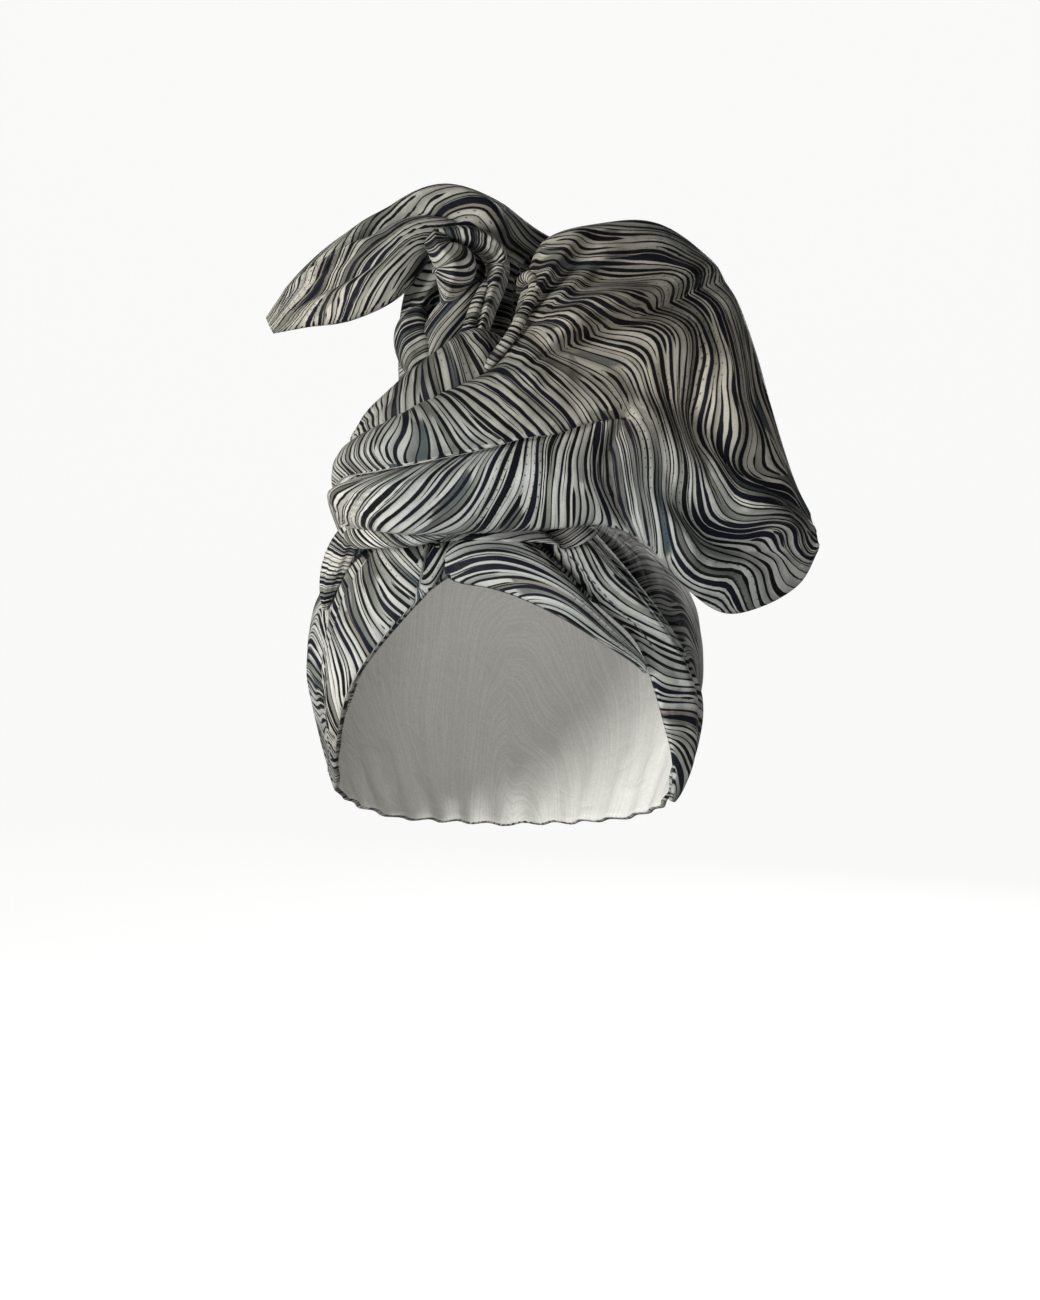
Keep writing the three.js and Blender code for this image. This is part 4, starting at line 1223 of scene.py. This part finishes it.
def tail_relief(base, position, across):
    """The creases of the hanging end, and the cloth's small waves, larger where it is bunched."""
    bunched = np.clip((5 - position) / 2, 0, 1)
    front = np.arange(across.shape[1]) < TAIL_COLUMNS[0]
    creases = sum(creased(base[..., 0], base[..., 2], path) for path in TAIL_CREASES)
    return front * creases + (0.4 + 0.5 * bunched) * ripples(position * 20, across * 90, 33)


def tail_columns(position):
    """Shares across the tail for each of its rows, over its front and back again behind."""
    front, back = TAIL_COLUMNS
    share = np.concatenate([np.linspace(0, 1, front + 1)[:-1], np.linspace(1, 0, back + 1)[:-1]])
    return eased(share) + 0 * position[:, None]


tail_layer = np.repeat([1, -1], TAIL_COLUMNS)
tail_face, tail_lining = sash_skins(TAIL, TAIL_FOLDS, TAIL_ROWS, tail_columns, tail_layer, tail_relief)
tail_position = np.linspace(0, len(TAIL) - 1, TAIL_ROWS)
tail_print = sash_pattern(tail_face, TAIL, tail_position, TAIL_FLOW, 0.0, evenness=TAIL_EVENNESS)
make_piece(
    "left_tail_cloth", "left_tail",
    [
        wall(tail_face, tail_lining, tail_print, True),
        roll(CONE_DRAPE, turn=90, bow=7, spacing=2.1, pinch=0.7),
        roll(RIGHT_ROLL, turn=78, spacing=2.1, crimp=0.04, steps=(90, 40)),
        roll(MIDDLE_ROLL, turn=72, spacing=2.1, crimp=0.05),
        roll(MIDDLE_FAN, turn=10, spacing=2.1, crimp=0.06),
        roll(LEFT_LOBE, turn=75, bow=-8, spacing=2.1, crimp=0.04),
    ],
)

# KNOT WRAP. The short end of the knot: a band of the same cloth that goes once round the foot of the
# standing end and is tucked in behind the wing, crumpled where it turns the corner.
KNOT_WRAP = np.array([
    # upper edge x, y, z, lower edge x, y, z, puff
    [13, -57, 42, 14, -58, 4, 4], [-14, -52, 36, -12, -53, -2, 5], [-44, -58, 29, -42, -59, -4, 5],
    [-59, -74, 19, -54, -76, -3, 6], [-55, -90, 26, -47, -95, 8, 8], [-41, -97, 39, -34, -103, 16, 10],
    [-26, -98, 51, -20, -104, 27, 10], [-13, -95, 60, -5, -100, 38, 9], [-2, -86, 55, 3, -90, 41, 6],
    [4, -70, 46, 8, -72, 34, 4],
], float)
WRAP_ROWS = 150
WRAP_COLUMNS = 40
WRAP_CORNER = 3.7
WRAP_CRUMPLE = 3.4
WRAP_LINE_TURN = 95.0
WRAP_LINE_SPACING = 3.2


def wrap_grid(inset, folds):
    """The wrap's face, or its lining at an inset: half a round from its upper edge to its lower one."""
    row = row_at(KNOT_WRAP, np.linspace(0, len(KNOT_WRAP) - 1, WRAP_ROWS))
    upper, lower, puff = row[:, 0:3], row[:, 3:6], row[:, 6:7]
    outwards = unit(np.cross(np.gradient(upper, axis=0), upper - lower))
    half = (upper - lower) / 2
    angle = np.linspace(0, np.pi, WRAP_COLUMNS)
    tall = (1 - inset / np.linalg.norm(half, axis=1))[:, None] * np.cos(angle)
    out = (puff - inset + folds) * np.sin(angle)
    middle = (upper + lower) / 2
    return middle[:, None, :] + half[:, None, :] * tall[..., None] + outwards[:, None, :] * out[..., None]


position, share = np.meshgrid(
    np.linspace(0, len(KNOT_WRAP) - 1, WRAP_ROWS), np.linspace(0, 1, WRAP_COLUMNS), indexing="ij")
at_corner = hump((position - WRAP_CORNER) / 1.7)
crumple = -WRAP_CRUMPLE * np.abs(ripples(position * 14, share * 34, 41, coarse=24, fine=8)) * at_corner
pleats = 0.9 * np.sin(position * 11 + 2.4 * share) * hump((position - 6) / 2.4)
waves = 0.4 * ripples(position * 14, share * 34, 43)
wrap_folds = crumple + pleats + waves - cusp((share - 0.35) / 0.15)
wrap_face, wrap_lining = wrap_grid(0, wrap_folds), wrap_grid(CLOTH, wrap_folds)
corner_turn = 50 * at_corner * ripples(position * 14, share * 34, 45)
wrap_turn = np.radians(WRAP_LINE_TURN + 9 * np.sin(position * 1.7) + corner_turn)
wrap_print = lay_print(wrap_face, np.cos(wrap_turn), np.sin(wrap_turn), WRAP_LINE_SPACING + 0 * share)
make_piece(
    "knot_wrap_cloth", "knot_wrap", [wall(wrap_face, wrap_lining, wrap_print, False)],
)

# STUDIO. A pale sweep of paper, floor and background in one, well below the wrap, which is held up as a
# head would hold it. A soft light at the front left is the window, and weaker ones at the foot of the
# front, behind and at the right fill the shadows.
SWEEP = [
    # y, z in metres
    (-4.0, -0.3), (1.0, -0.3), (1.6, -0.24), (2.1, -0.05), (2.45, 0.3), (2.6, 0.8), (2.6, 4.0),
]
SWEEP_HALF_WIDTH = 5
PAPER = (0.16, 0.16, 0.158, 1)
PAPER_GLOW = (0.15, 0.92)
ROOM_GLOW = (0.07, 0.9)
WHITE = (1, 1, 0.995, 1)
LIGHTS = [
    # name, x, y, z in metres, tilt, turn in degrees, size in metres, power in watts
    ("window light", -0.75, -0.75, 0.0, 91, -46, 0.4, 14.2),
    ("light from below", -0.05, -0.55, -0.26, 118, -6, 0.3, 1.6),
    ("light from behind", 0.4, 1.0, 0.4, -70, -22, 0.6, 8.0),
    ("fill light", 1.0, -1.0, 0.6, 66, 46, 0.8, 2.2),
]
SENSOR = 36
CAMERA_X = 6.45
CAMERA_Z = -65.8
CAMERA_AWAY = 1100
PICTURE_HEIGHT = 1300
MM_PER_PIXEL = 0.43


def strength_by_view(n, unseen, seen):
    """One strength for the light that a thing sheds, and another for how bright the camera sees it."""
    straight = n.add("ShaderNodeLightPath").outputs["Is Camera Ray"]
    return n.spread(straight, 0.0, 1.0, unseen, seen)


sweep_mesh = bpy.data.meshes.new("paper_sweep")
sweep_points = [(x, y, z) for x in (-SWEEP_HALF_WIDTH, SWEEP_HALF_WIDTH) for y, z in SWEEP]
sweep_faces = [(k, k + len(SWEEP), k + len(SWEEP) + 1, k + 1) for k in range(len(SWEEP) - 1)]
sweep_mesh.from_pydata(sweep_points, [], sweep_faces)
sweep_mesh.polygons.foreach_set("use_smooth", np.ones(len(sweep_faces), bool))
sweep = place_in_scene("paper_sweep", sweep_mesh)
paper, paper_nodes, paper_shader = new_material("pale paper")
paper_shader["Base Color"].default_value = PAPER
paper_shader["Roughness"].default_value = 0.9
paper_shader["Emission Color"].default_value = WHITE
paper_shader["Specular IOR Level"].default_value = 0.0
paper.node_tree.links.new(strength_by_view(paper_nodes, *PAPER_GLOW), paper_shader["Emission Strength"])
sweep_mesh.materials.append(paper)

for name, x, y, z, tilt, turn, size, power in LIGHTS:
    lamp = bpy.data.lights.new(name, "AREA")
    lamp.shape = "DISK"
    lamp.size = size
    lamp.energy = power
    light = place_in_scene(name, lamp)
    light.location = (x, y, z)
    light.rotation_euler = np.radians((tilt, 0, turn))

world = bpy.data.worlds.new("white room")
bpy.context.scene.world = world
world.use_nodes = True
room = world.node_tree.nodes["Background"].inputs
room["Color"].default_value = WHITE
world.node_tree.links.new(strength_by_view(Nodes(world.node_tree), *ROOM_GLOW), room["Strength"])

lens = bpy.data.cameras.new("camera")
lens.sensor_width = SENSOR
lens.lens = SENSOR * CAMERA_AWAY / (PICTURE_HEIGHT * MM_PER_PIXEL)
camera = place_in_scene("camera", lens)
camera.location = (CAMERA_X * MM, -CAMERA_AWAY * MM, CAMERA_Z * MM)
camera.rotation_euler = (np.pi / 2, 0, 0)
bpy.context.scene.camera = camera
bpy.context.scene.view_settings.view_transform = "Standard"
